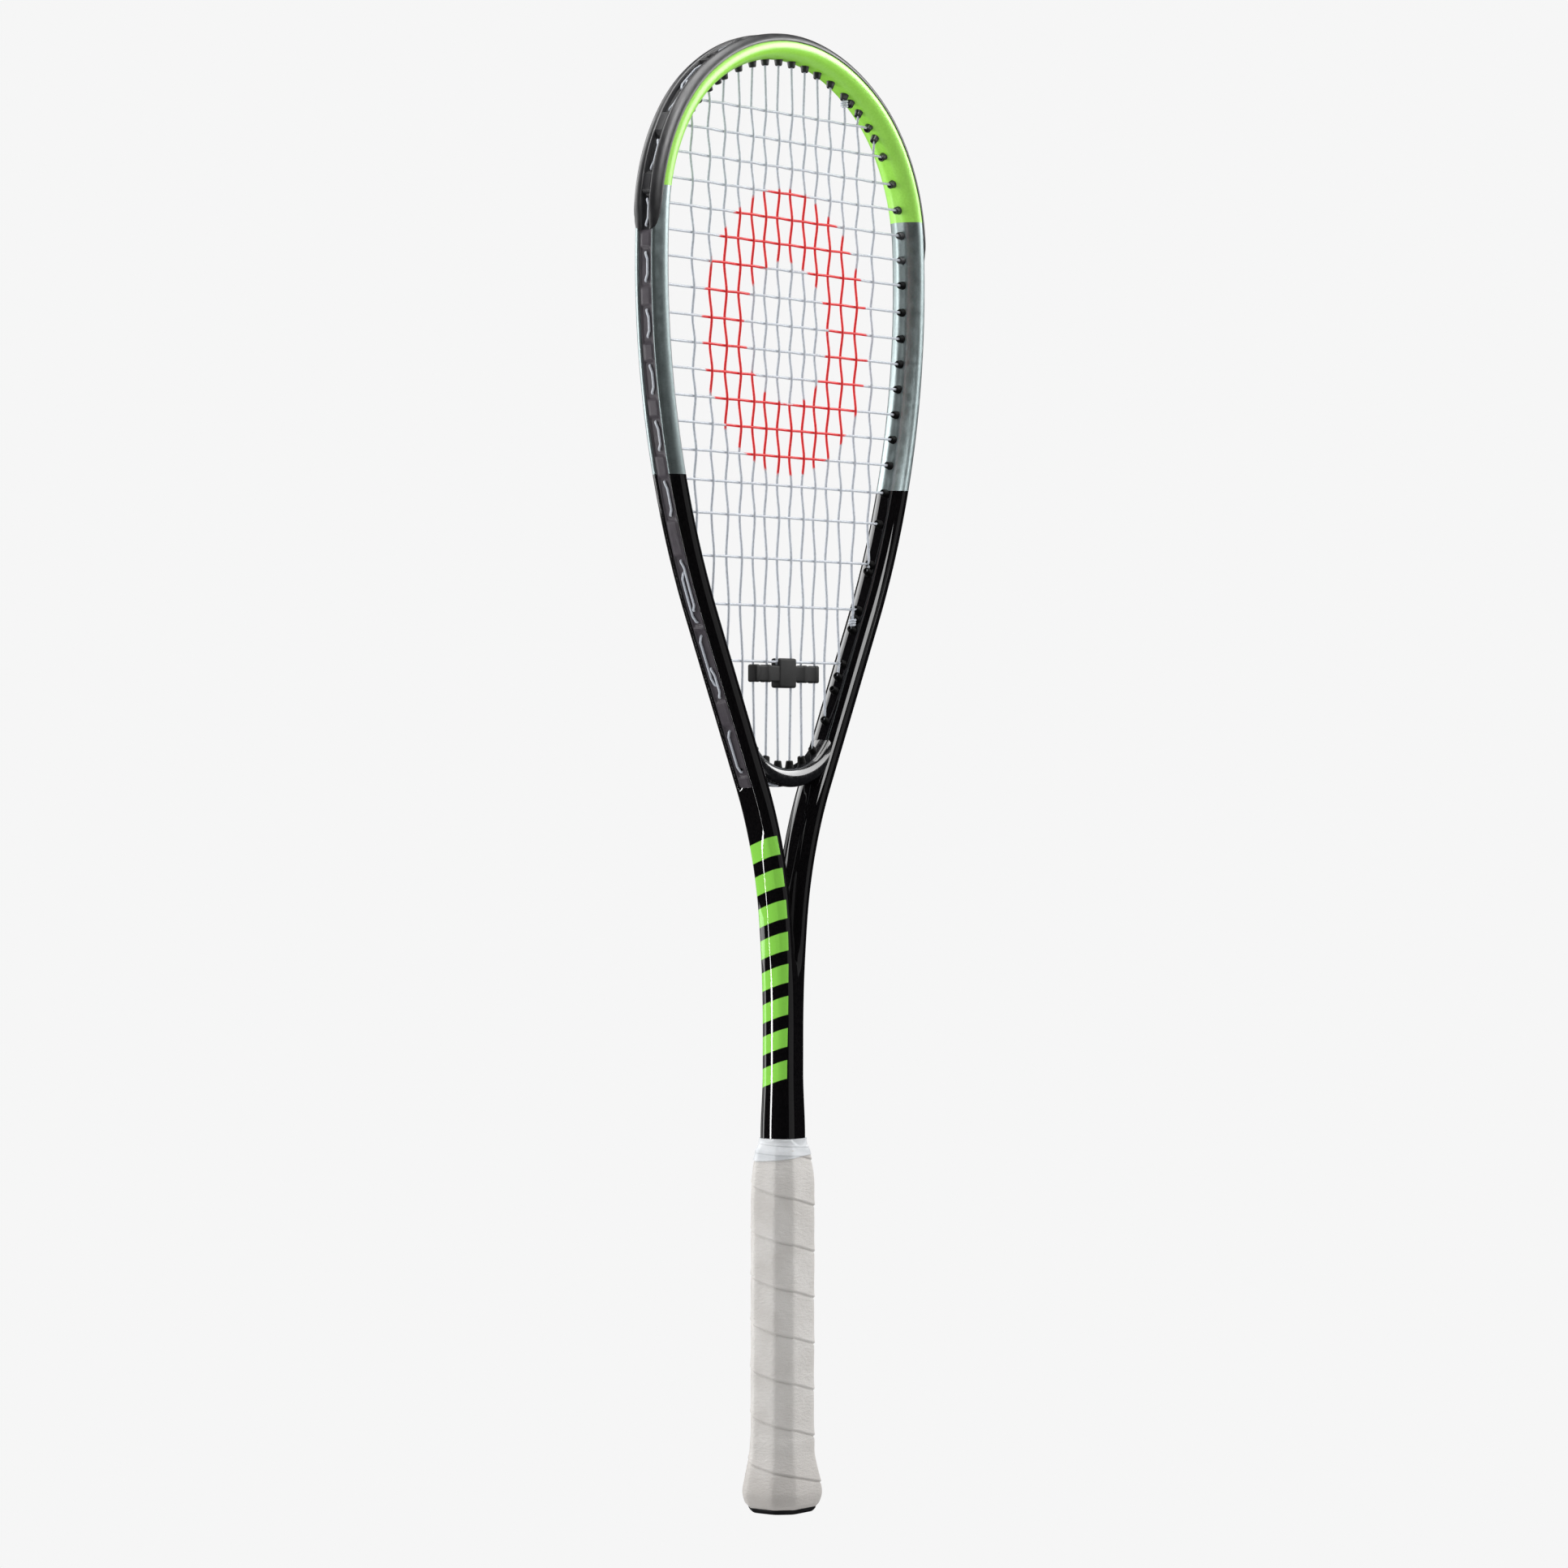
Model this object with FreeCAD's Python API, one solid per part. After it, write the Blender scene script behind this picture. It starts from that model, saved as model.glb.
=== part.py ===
import FreeCAD, Part
import math
import os

# Squash racket, standing on its butt. Millimetres.
# +Z runs along the racket from the butt to the head, X is the width of the face, Y its thickness.
# The front of the racket faces -Y, and the origin is the centre of the butt's flat end.

V = FreeCAD.Vector

# ---- driving dimensions ------------------------------------------------------------------------
LENGTH = 686.0              # butt to the top of the bumper, the standard 27 inches
TUBE_OUT = 4.9              # tube centreline to its outer side
TUBE_IN = 5.0               # tube centreline to its inner side
BUMPER_RISE = 1.3           # how far the bumper stands out of the tube
APEX_Z = LENGTH - BUMPER_RISE - TUBE_OUT

# The hoop's centreline, right half, from the apex down: three arcs, a straight arm and a flare.
CROWN_R, CROWN_TURN = 110.0, 34.7
SHOULDER_R, SHOULDER_TURN = 84.4, 51.9
SIDE_R, SIDE_TURN = 361.9, 29.5
ARM_STRAIGHT = 85.8
FLARE_END_R, FLARE_END_TURN = 500.0, 6.0
ARM_END_X = 3.5             # arm centreline where it runs into the shaft
ARM_TAIL = 14.0             # how far the arm runs on inside the shaft

# Tube section as (outward, depth) for the front half; the back half mirrors it.
TUBE_SECTION = [(TUBE_OUT, 4.6), (4.2, 6.0), (0.8, 8.3), (-2.6, 7.7), (-TUBE_IN, 3.4)]
CAVITY_SECTION = [(1.7, 5.6), (0.3, 6.9), (-2.1, 6.4), (-3.7, 3.0)]
CHANNEL_FLOOR = 3.0         # bottom of the string channel in the tube's outer side
CHANNEL_HALF = 3.7
CHANNEL_END_Z = 336.0

SHAFT_HALF_X, SHAFT_HALF_Y, SHAFT_CORNER = 8.6, 8.4, 6.1
SHAFT_WALL = 1.4
SHAFT_BOTTOM, SHAFT_TOP = 8.0, 246.0
SHAFT_SWELL = 1.1           # the shaft swells by this much into the handle
SWELL_BOTTOM, SWELL_TOP = 174.0, 204.0

BRIDGE_CENTRE_Z = 387.4     # the throat bridge is an arc about this height
BRIDGE_IN_R, BRIDGE_OUT_R = 42.0, 51.0
BRIDGE_HALF_DEPTH, BRIDGE_CHAMFER = 6.4, 2.2
BRIDGE_HALF_ANGLE = 45.0
BRIDGE_CHANNEL_R, BRIDGE_CHANNEL_HALF, BRIDGE_CHANNEL_ANGLE = 49.2, 3.4, 23.4
BRIDGE_MID_R = (BRIDGE_IN_R + BRIDGE_OUT_R) / 2

STRIP_THICK = 0.8
STRIP_HALF = 3.5
BUMPER_END_Z = 587.0
BARREL_R, BARREL_BORE_R = 1.7, 0.85
BARREL_PROUD = 1.4          # how far a barrel stands into the hoop
HOLE_R = 1.75
BARREL_TILT = 5.0          # most that a barrel leans away from the tube's normal

STRING_R = 0.6
WEAVE = 0.68                # how far a string leaves the middle plane at a crossing
LOOP_BEND_R = 0.9           # bend where a string turns along the channel
MAIN_LANE, CROSS_LANE = 1.3, -1.3    # the two strings pass each other in the channel
STRING_LINE = CHANNEL_FLOOR + STRIP_THICK + STRING_R + 0.05
MAIN_X = [5.0, 15.3, 25.0, 35.5, 46.4, 58.0, 71.2]   # half of the mains, at the fan's height
MAIN_FAN = 3.2e-4           # how much the mains draw together per mm of drop
FAN_Z = 660.0
CROSS_Z = [649.7, 637.0, 624.6, 612.6, 600.7, 588.9, 576.9, 563.9, 551.2, 539.0,
           526.9, 514.6, 502.6, 490.1, 476.7, 461.8, 442.4, 420.5, 394.7]

GRIP_X, GRIP_Y, GRIP_BEVEL = 14.3, 12.6, 6.3         # half width, half depth, bevel
WRAP_THICK, TAPE_THICK, CAP_SKIRT = 1.6, 0.2, 0.9
STAPLE_LEG = 1.8
GRIP_BOTTOM, FLARE_TOP, GRIP_TOP = 2.2, 31.0, 168.5
CORE_BOTTOM = 4.0
FINISH_BOTTOM, FINISH_TOP = 160.0, 173.4
# Size of the grip at a height, against its straight part: the flare at the butt and the taper on top.
FLARE = [(GRIP_BOTTOM, 1.08), (4.2, 1.175), (9.0, 1.26), (15.5, 1.19), (21.0, 1.11), (27.0, 1.03)]
TAPER = [(146.0, 1.0), (156.0, 0.975), (163.0, 0.906), (168.5, 0.826), (173.4, 0.72)]
CAP_BASE = [(0.0, 0.96), (0.6, 1.01), (GRIP_BOTTOM, 1.06)]

BUTT_RECESS = (9.4, 7.6, 4.0)       # half width, half depth, corner of the recess in the cap's end
RECESS_DEPTH, BADGE_THICK, BADGE_GAP = 1.3, 1.0, 0.2

DAMPER_Z = 389.2
DAMPER_TRAVEL = 28.0
DAMPER_BAR = (24.0, 2.4, 3.8)       # half width, half depth, half height
DAMPER_BLOCK = (6.6, 2.8, 6.6)      # the same of the square middle, which rises further by BLOCK_RISE
BLOCK_RISE = 0.6
DAMPER_RIB = (1.7, 2.65, 4.1)
STRING_SLOT = (1.15, 1.65)          # half width and half depth of a slot for one main
CROSS_SLOT_BOTTOM = 4.1             # above the bar's middle, the block is open for the last cross


# ---- small tools -------------------------------------------------------------------------------
def save(shape, node):
    """Write one node's solids to its own file."""
    shape.exportStep("parts/" + node + ".step")
    print(node, "solids", len(shape.Solids), "valid", shape.isValid(), "mm3", round(shape.Volume, 1))


def both_sides(shape):
    """The shape and its mirror image in the plane X = 0."""
    return [shape, shape.mirror(V(0, 0, 0), V(1, 0, 0))]


def joined(shapes):
    """Fuse the shapes and drop the seams between faces that continue each other."""
    return shapes[0].fuse(shapes[1:]).removeSplitter()


def rod(start, end, radius):
    """A cylinder between two points."""
    return Part.makeCylinder(radius, (end - start).Length, start, end - start)


def slab(x0, x1, y0, y1, z0, z1):
    """A box between two corners."""
    return Part.makeBox(x1 - x0, y1 - y0, z1 - z0, V(x0, y0, z0))


def octagon(half_x, half_y, bevel, z):
    """An octagonal wire with 45 degree bevels, at height z."""
    corner = [(half_x, half_y - bevel), (half_x - bevel, half_y)]
    points = corner + [(-x, y) for x, y in reversed(corner)]
    points += [(-x, -y) for x, y in points]
    return Part.makePolygon([V(x, y, z) for x, y in points + points[:1]])


def rounded_wire(half_x, half_y, corner, z):
    """A rectangle with round corners, at height z."""
    flat_x, flat_y, diagonal = half_x - corner, half_y - corner, corner * math.sqrt(0.5)
    edges = []
    for turn in range(4):
        sx, sy = ((1, 1), (-1, 1), (-1, -1), (1, -1))[turn]
        side, top = V(sx * half_x, sy * flat_y, z), V(sx * flat_x, sy * half_y, z)
        middle = V(sx * (flat_x + diagonal), sy * (flat_y + diagonal), z)
        first, last = (side, top) if turn % 2 == 0 else (top, side)
        if edges:
            edges.append(Part.LineSegment(last_point, first).toShape())
        else:
            start_point = first
        edges.append(Part.Arc(first, middle, last).toShape())
        last_point = last
    edges.append(Part.LineSegment(last_point, start_point).toShape())
    return Part.Wire(edges)


def rounded_box(half_x, half_y, corner, z0, z1):
    """An upright box with round corners along Z."""
    return Part.makeLoft([rounded_wire(half_x, half_y, corner, z) for z in (z0, z1)], True, True)


def shaft_solid(shrink, bottom, top):
    """The shaft's shape, moved inwards by shrink: it swells towards the handle."""
    wires = []
    for z, scale in ((bottom, SHAFT_SWELL), (SWELL_BOTTOM, SHAFT_SWELL), (SWELL_TOP, 1.0), (top, 1.0)):
        wires.append(rounded_wire(SHAFT_HALF_X * scale - shrink, SHAFT_HALF_Y * scale - shrink,
                                  SHAFT_CORNER * scale - shrink, z))
    return Part.makeLoft(wires, True, True)


def rounded_path(points, radius):
    """Straight runs joined by tangent arcs, no larger than the runs allow."""
    edges = []
    start = points[0]
    for before, here, after in zip(points, points[1:], points[2:]):
        come, leave = here - before, after - here
        shorter = min(come.Length, leave.Length)
        come.normalize()
        leave.normalize()
        half_turn = math.acos(max(-1.0, min(1.0, come.dot(leave)))) / 2
        if half_turn < 1e-4:
            continue
        bend = min(radius, 0.45 * shorter / math.tan(half_turn))
        inset = bend * math.tan(half_turn)
        inward = leave - come
        inward.normalize()
        middle = here + inward * (bend / math.cos(half_turn) - bend)
        edges.append(Part.LineSegment(start, here - come * inset).toShape())
        edges.append(Part.Arc(here - come * inset, middle, here + leave * inset).toShape())
        start = here + leave * inset
    edges.append(Part.LineSegment(start, points[-1]).toShape())
    return Part.Wire(edges)


def string_along(points, bends):
    """A round string through the points."""
    path = rounded_path(points, bends)
    ring = Part.Wire([Part.makeCircle(STRING_R, points[0], points[1] - points[0])])
    sweep = Part.BRepOffsetAPI.MakePipeShell(path)
    sweep.add(ring)
    sweep.build()
    sweep.makeSolid()
    string = sweep.shape()
    print("string length", round(path.Length), "volume ratio",
          round(string.Volume / (path.Length * math.pi * STRING_R ** 2), 4))
    return string


# ---- the hoop's centreline ---------------------------------------------------------------------
def outline_pieces():
    """The right half's pieces from the apex: start x, z, heading, signed radius, length."""
    lean = CROWN_TURN + SHOULDER_TURN + SIDE_TURN - 90.0
    x, z, heading = 0.0, APEX_Z, 0.0
    pieces = []

    def add(radius, length):
        nonlocal x, z, heading
        pieces.append((x, z, heading, radius, length))
        x, z, heading = along_piece(pieces[-1], length)

    for radius, turn in ((CROWN_R, CROWN_TURN), (SHOULDER_R, SHOULDER_TURN), (SIDE_R, SIDE_TURN)):
        add(radius, radius * math.radians(turn))
    add(None, ARM_STRAIGHT)
    last_turn, start_turn = math.radians(FLARE_END_TURN), math.radians(lean)
    end_shift = FLARE_END_R * (1 - math.cos(last_turn))
    flare_r = (x - ARM_END_X - end_shift) / (math.cos(last_turn) - math.cos(start_turn))
    add(-flare_r, flare_r * (start_turn - last_turn))
    add(-FLARE_END_R, FLARE_END_R * last_turn)
    add(None, ARM_TAIL)
    return pieces


def along_piece(piece, distance):
    """Point and heading at a distance along one piece. Heading turns clockwise from +X."""
    x, z, heading, radius, _ = piece
    if radius is None:
        return x + distance * math.cos(heading), z - distance * math.sin(heading), heading
    centre_x, centre_z = x - radius * math.sin(heading), z - radius * math.cos(heading)
    turned = heading + distance / radius
    return centre_x + radius * math.sin(turned), centre_z + radius * math.cos(turned), turned


PIECES = outline_pieces()
OUTLINE_LENGTH = sum(piece[4] for piece in PIECES)


def outline_at(s):
    """Centreline point and outward normal at arc length s from the apex, right half."""
    for piece in PIECES:
        if s <= piece[4] or piece is PIECES[-1]:
            x, z, heading = along_piece(piece, s)
            return V(x, 0, z), V(math.sin(heading), 0, math.cos(heading))
        s -= piece[4]


def outline_s_at_height(height):
    """Arc length where the right half reaches a height on its way down."""
    low, high = 0.0, OUTLINE_LENGTH
    for _ in range(50):
        middle = (low + high) / 2
        if outline_at(middle)[0].z > height:
            low = middle
        else:
            high = middle
    return low


def outline_wire(s_end):
    """The right half's centreline as lines and arcs, from the apex to s_end."""
    edges = []
    for piece in PIECES:
        length = min(piece[4], s_end)
        if length <= 1e-6:
            break
        ends = [along_piece(piece, d) for d in (0, length / 2, length)]
        start, middle, end = [V(x, 0, z) for x, z, _ in ends]
        if piece[3] is None:
            edges.append(Part.LineSegment(start, end).toShape())
        else:
            edges.append(Part.Arc(start, middle, end).toShape())
        s_end -= length
    return Part.Wire(edges)


def swept(section, s_end=OUTLINE_LENGTH):
    """Sweep a closed (outward, depth) section down the right half's centreline."""
    points = [V(0, depth, APEX_Z + out) for out, depth in section]
    sweep = Part.BRepOffsetAPI.MakePipeShell(outline_wire(s_end))
    sweep.setBiNormalMode(V(0, 1, 0))
    sweep.add(Part.makePolygon(points + points[:1]))
    sweep.build()
    sweep.makeSolid()
    return sweep.shape()


def mirrored_depth(front):
    """Close a half section by mirroring it in depth."""
    return [(out, -depth) for out, depth in front] + [(out, depth) for out, depth in reversed(front)]


# ---- where each string passes the frame --------------------------------------------------------
def bridge_at(s):
    """Middle of the bridge and its outward normal at arc length s from the centre."""
    angle = s / BRIDGE_MID_R
    normal = V(math.sin(angle), 0, -math.cos(angle))
    return V(0, 0, BRIDGE_CENTRE_Z) + normal * BRIDGE_MID_R, normal


def leaned(normal, pull):
    """The normal, leaned towards the string's direction by at most BARREL_TILT."""
    angle = math.acos(max(-1.0, min(1.0, normal.dot(pull))))
    part = min(1.0, math.radians(BARREL_TILT) / max(angle, 1e-6))
    lean = normal * math.sin((1 - part) * angle) + pull * math.sin(part * angle)
    lean.normalize()
    return lean


def find_hole(place_at, s_low, s_high, inner, line_point, pull):
    """The hole whose inner mouth lies on a string's line: middle point, outward axis and s."""
    across = V(pull.z, 0, -pull.x)

    def miss(s):
        middle, normal = place_at(s)
        return (middle - leaned(normal, pull) * (inner + BARREL_PROUD) - line_point).dot(across)

    sign = 1 if miss(s_low) > 0 else -1
    for _ in range(50):
        s = (s_low + s_high) / 2
        if miss(s) * sign > 0:
            s_low = s
        else:
            s_high = s
    middle, normal = place_at(s)
    return middle, leaned(normal, pull), s


def main_x(i, z):
    """X of right-hand main i at a height: the mains draw together towards the throat."""
    return MAIN_X[i] * (1 - MAIN_FAN * (FAN_Z - z))


def main_pull(i):
    """Direction of right-hand main i, towards the head."""
    pull = V(MAIN_X[i] * MAIN_FAN, 0, 1)
    pull.normalize()
    return pull


WIDEST_S = (CROWN_R * math.radians(CROWN_TURN) + SHOULDER_R * math.radians(SHOULDER_TURN)
            + SIDE_R * math.radians(90.0 - CROWN_TURN - SHOULDER_TURN))
BRIDGE_MAINS = 2            # mains each side of the middle whose loops run under the bridge
BRIDGE_LINE = BRIDGE_CHANNEL_R + STRIP_THICK + STRING_R + 0.05 - BRIDGE_MID_R
JUNCTION_DROP_Z = 343.5     # the third main crosses the bridge's root to the arm's outer side here


def string_ends():
    """Both ends of each right-hand main and the right end of each cross."""
    tops, bottoms, sides = [], [], []
    for i in range(len(MAIN_X)):
        point, pull = V(main_x(i, FAN_Z), 0, FAN_Z), main_pull(i)
        middle, axis, s = find_hole(outline_at, 0.0, WIDEST_S, TUBE_IN, point, pull)
        tops.append(end_of(middle, axis, s, TUBE_IN, STRING_LINE))
        if i <= BRIDGE_MAINS:
            half = BRIDGE_MID_R * math.radians(BRIDGE_HALF_ANGLE)
            inner = BRIDGE_MID_R - BRIDGE_IN_R
            middle, axis, s = find_hole(bridge_at, 0.0, half, inner, point, pull * -1)
            bottoms.append(end_of(middle, axis, s, inner, BRIDGE_LINE))
        else:
            middle, axis, s = find_hole(outline_at, WIDEST_S, OUTLINE_LENGTH - 60, TUBE_IN, point, pull * -1)
            bottoms.append(end_of(middle, axis, s, TUBE_IN, STRING_LINE))
    bottoms[BRIDGE_MAINS] = junction_end(bottoms[BRIDGE_MAINS])
    for z in CROSS_Z:
        middle, axis, s = find_hole(outline_at, 0.0, OUTLINE_LENGTH - 60, TUBE_IN, V(0, 0, z), V(1, 0, 0))
        sides.append(end_of(middle, axis, s, TUBE_IN, STRING_LINE))
    return tops, bottoms, sides


def end_of(middle, axis, s, inner, line):
    """One string end: s, the inner mouth, and the point where it turns along the channel."""
    return {"s": s, "mouth": middle - axis * (inner + BARREL_PROUD), "turn": middle + axis * line,
            "axis": axis}


def junction_end(bridge_end):
    """The end that runs slantwise through the bridge's root and the arm."""
    s = outline_s_at_height(JUNCTION_DROP_Z + 1.5)
    middle, normal = outline_at(s)
    turn = middle + normal * STRING_LINE
    axis = turn - bridge_end["mouth"]
    axis.normalize()
    return {"s": s, "mouth": bridge_end["mouth"], "turn": turn, "axis": axis}


TOPS, BOTTOMS, SIDES = string_ends()


def mirrored_end(end):
    """The same end on the racket's left side."""
    flipped = dict(end)
    for key in ("mouth", "turn", "axis"):
        flipped[key] = V(-end[key].x, 0, end[key].z)
    return flipped


def tie_hole(beside, step):
    """A spare hole along the tube from another one, where a string's tail comes back in."""
    s = beside["s"] + step
    middle, normal = outline_at(s)
    return end_of(middle, normal, s, TUBE_IN, STRING_LINE)


TIE_STEP = 6.5
KNOT_GAP = 2.3              # from a mouth to the first turn of the knot beside it
MAIN_TIE = tie_hole(BOTTOMS[5], -TIE_STEP)      # each main tail ties off on the sixth main
CROSS_START_TIE = tie_hole(TOPS[4], TIE_STEP)   # the cross string starts tied to the fifth main
CROSS_END_TIE = tie_hole(BOTTOMS[4], TIE_STEP)


def outline_ends():
    """Every right-side hole that opens into the outer channel."""
    return TOPS + BOTTOMS[BRIDGE_MAINS:] + SIDES + [MAIN_TIE, CROSS_START_TIE, CROSS_END_TIE]


# ---- frame -------------------------------------------------------------------------------------
def right_half(shape):
    """Keep what lies on the right of the plane X = 0."""
    return shape.common(slab(0, 150, -30, 30, 0, LENGTH + 20))


def arm_solids():
    """Both halves of the hoop and arms, solid."""
    return both_sides(right_half(swept(mirrored_depth(TUBE_SECTION))))


def hole_cutters():
    """A drill for each string hole, right and left."""
    drills = [rod(end["mouth"], end["turn"] + end["axis"] * 3, HOLE_R) for end in outline_ends()]
    drills += [rod(end["mouth"], end["turn"] + end["axis"] * 3, HOLE_R) for end in BOTTOMS[:BRIDGE_MAINS]]
    return [side for drill in drills for side in both_sides(drill)]


def make_frame():
    """One hollow carbon tube: hoop and arms, run together into the shaft."""
    outer = joined(arm_solids() + [shaft_solid(0.0, SHAFT_BOTTOM, SHAFT_TOP)])
    cavity = both_sides(right_half(swept(mirrored_depth(CAVITY_SECTION))))
    bore = shaft_solid(SHAFT_WALL, SHAFT_BOTTOM - 1, SHAFT_TOP - 6)
    channel = [(CHANNEL_FLOOR, CHANNEL_HALF), (TUBE_OUT + 3, CHANNEL_HALF)]
    channels = both_sides(swept(mirrored_depth(channel), outline_s_at_height(CHANNEL_END_Z)))
    return outer.cut(cavity + [bore]).cut(channels).cut(hole_cutters())


def bridge_ring(profile, half_angle):
    """Turn a (radius, depth) profile about the bridge's centre, by half_angle each way."""
    turn = math.radians(half_angle)
    points = [V(-r * math.sin(turn), depth, BRIDGE_CENTRE_Z - r * math.cos(turn)) for r, depth in profile]
    face = Part.Face(Part.makePolygon(points + points[:1]))
    return face.revolve(V(0, 0, BRIDGE_CENTRE_Z), V(0, -1, 0), 2 * half_angle)


def make_bridge(arms):
    """The throat bridge, bonded between the arms."""
    half, chamfer = BRIDGE_HALF_DEPTH, BRIDGE_CHAMFER
    profile = mirrored_depth([(BRIDGE_IN_R, half - chamfer), (BRIDGE_IN_R + chamfer, half),
                              (BRIDGE_OUT_R - chamfer, half), (BRIDGE_OUT_R, half - chamfer)])
    channel = mirrored_depth([(BRIDGE_CHANNEL_R, BRIDGE_CHANNEL_HALF),
                              (BRIDGE_OUT_R + 2, BRIDGE_CHANNEL_HALF)])
    ring = bridge_ring(profile, BRIDGE_HALF_ANGLE).cut(arms)
    body = max(ring.Solids, key=lambda solid: solid.Volume)
    return body.cut([bridge_ring(channel, BRIDGE_CHANNEL_ANGLE)]).cut(hole_cutters())


# ---- grommets and bumper -----------------------------------------------------------------------
def barrels(ends, base):
    """Round barrels through the tube, from the strip to just inside the hoop."""
    return [rod(end["mouth"], end["turn"] - end["axis"] * base, BARREL_R) for end in ends]


def bores(ends):
    """The holes that the strings run through."""
    return [rod(end["mouth"] - end["axis"] * 2, end["turn"] + end["axis"] * 2, BARREL_BORE_R) for end in ends]


BARREL_BASE = STRING_R + 0.05 + STRIP_THICK / 2


def make_side_strip():
    """The right-hand grommet strip, from the bumper down to the channel's end."""
    start, stop = outline_s_at_height(BUMPER_END_Z), outline_s_at_height(CHANNEL_END_Z)
    band = mirrored_depth([(CHANNEL_FLOOR, STRIP_HALF), (CHANNEL_FLOOR + STRIP_THICK, STRIP_HALF)])
    strip = swept(band, stop - 1.0).cut(slab(-1, 150, -30, 30, BUMPER_END_Z - 0.3, LENGTH + 20))
    ends = [end for end in outline_ends() if end["s"] > start]
    return joined([strip] + barrels(ends, BARREL_BASE)).cut(bores(ends))


def make_bumper():
    """The head guard: a grooved strip whose shoulders wrap over the tube's outer bevels."""
    stop = outline_s_at_height(BUMPER_END_Z)
    rise, clear = TUBE_OUT + BUMPER_RISE, TUBE_OUT + 0.05
    section = mirrored_depth([(CHANNEL_FLOOR, STRIP_HALF), (clear, STRIP_HALF), (clear, 4.65), (4.27, 6.06),
                              (2.45, 7.28), (2.75, 7.72), (5.0, 6.75), (5.9, 5.6), (rise, 4.4), (rise, 2.6),
                              (CHANNEL_FLOOR + STRIP_THICK, 2.3)])
    ends = [end for end in outline_ends() if end["s"] <= stop]
    half_guard = joined([swept(section, stop)] + barrels(ends, BARREL_BASE)).cut(bores(ends))
    return joined(both_sides(half_guard))


def make_bridge_strip():
    """The small grommet strip under the throat bridge."""
    band = mirrored_depth([(BRIDGE_CHANNEL_R, BRIDGE_CHANNEL_HALF - 0.2),
                           (BRIDGE_CHANNEL_R + STRIP_THICK, BRIDGE_CHANNEL_HALF - 0.2)])
    ends = BOTTOMS[:BRIDGE_MAINS]
    ends = ends + [mirrored_end(end) for end in ends]
    strip = bridge_ring(band, BRIDGE_CHANNEL_ANGLE - 0.8)
    return joined([strip] + barrels(ends, BARREL_BASE)).cut(bores(ends))


# ---- strings -----------------------------------------------------------------------------------
LOOP_STEP = 9.0
LANE_START = 3.2            # how far from its hole a string has reached its lane


def channel_run(first, last, lane, line=STRING_LINE, place_at=outline_at):
    """Points along one lane of the channel between two right-hand ends, in order."""
    way = 1 if last["s"] > first["s"] else -1
    start = first["s"] + way * min(LANE_START, abs(last["s"] - first["s"]) / 3)
    stop = last["s"] - (start - first["s"])
    count = max(1, round(abs(stop - start) / LOOP_STEP))
    points = []
    for k in range(count + 1):
        middle, normal = place_at(start + (stop - start) * k / count)
        points.append(middle + normal * line + V(0, lane, 0))
    return points


def flip(points):
    """Mirror points to the left side."""
    return [V(-p.x, p.y, p.z) for p in points]


def side_of(side, ends):
    """Ends on the right (+1) or left (-1) side."""
    return ends if side > 0 else [mirrored_end(end) for end in ends]


def main_crossings(side, i):
    """Points of one main at its crossings, from the throat to the head."""
    low, high = BOTTOMS[i]["mouth"].z + 2, TOPS[i]["mouth"].z - 2
    points = []
    for j, z in reversed(list(enumerate(CROSS_Z))):
        if low < z < high:
            points.append(V(side * main_x(i, z), weave(side, i, j), z))
    return points


def weave(side, i, j):
    """Depth of a main at a crossing; the cross string takes the opposite side."""
    order = i if side > 0 else -1 - i
    return WEAVE if (order + j) % 2 else -WEAVE


def cross_crossings(j):
    """Points of one cross at its crossings, from left to right."""
    z = CROSS_Z[j]
    points = []
    for side, i in [(-1, i) for i in reversed(range(len(MAIN_X)))] + [(1, i) for i in range(len(MAIN_X))]:
        if BOTTOMS[i]["mouth"].z + 2 < z < TOPS[i]["mouth"].z - 2:
            points.append(V(side * main_x(i, z), -weave(side, i, j), z))
    return points


def main_strand(side, i, upward):
    """One main from its turn in one channel to its turn in the other."""
    top, bottom = side_of(side, TOPS)[i], side_of(side, BOTTOMS)[i]
    points = [bottom["turn"], bottom["mouth"]] + main_crossings(side, i) + [top["mouth"], top["turn"]]
    return points if upward else points[::-1]


def main_loop(side, i, at_top):
    """Channel points between main i and the next one outwards."""
    ends = TOPS if at_top else BOTTOMS
    if not at_top and i + 1 < BRIDGE_MAINS:
        run = channel_run(ends[i], ends[i + 1], 0.0, BRIDGE_LINE, bridge_at)
    else:
        run = channel_run(ends[i], ends[i + 1], MAIN_LANE)
    return run if side > 0 else flip(run)


def main_half(side):
    """One side's mains from the middle main at the head out to the tied tail."""
    points, upward = [], False
    for i in range(len(MAIN_X)):
        points += main_strand(side, i, upward)
        if i + 1 < len(MAIN_X):
            points += main_loop(side, i, upward)
        upward = not upward
    tail = channel_run(BOTTOMS[6], MAIN_TIE, MAIN_LANE) + [MAIN_TIE["turn"], MAIN_TIE["mouth"]]
    return points + (tail if side > 0 else flip(tail))


def knot_on(strand_start, strand_end, gap):
    """A tie-off knot: two turns of string round a strand, just inside its mouth."""
    along = strand_end - strand_start
    along.normalize()
    turns = []
    for k in range(2):
        centre = strand_start + along * (gap + k * 1.15)
        turns.append(Part.makeTorus(1.32, STRING_R, centre, along))
    return joined(turns)


def make_main_string():
    """Fourteen mains as one string, centred over the head, with a tied tail each side."""
    right, left = main_half(1), main_half(-1)
    string = string_along(left[::-1] + right, LOOP_BEND_R)
    mouth, first = BOTTOMS[5]["mouth"], main_crossings(1, 5)[0]
    return Part.makeCompound([string] + both_sides(knot_on(mouth, first, KNOT_GAP)))


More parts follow.
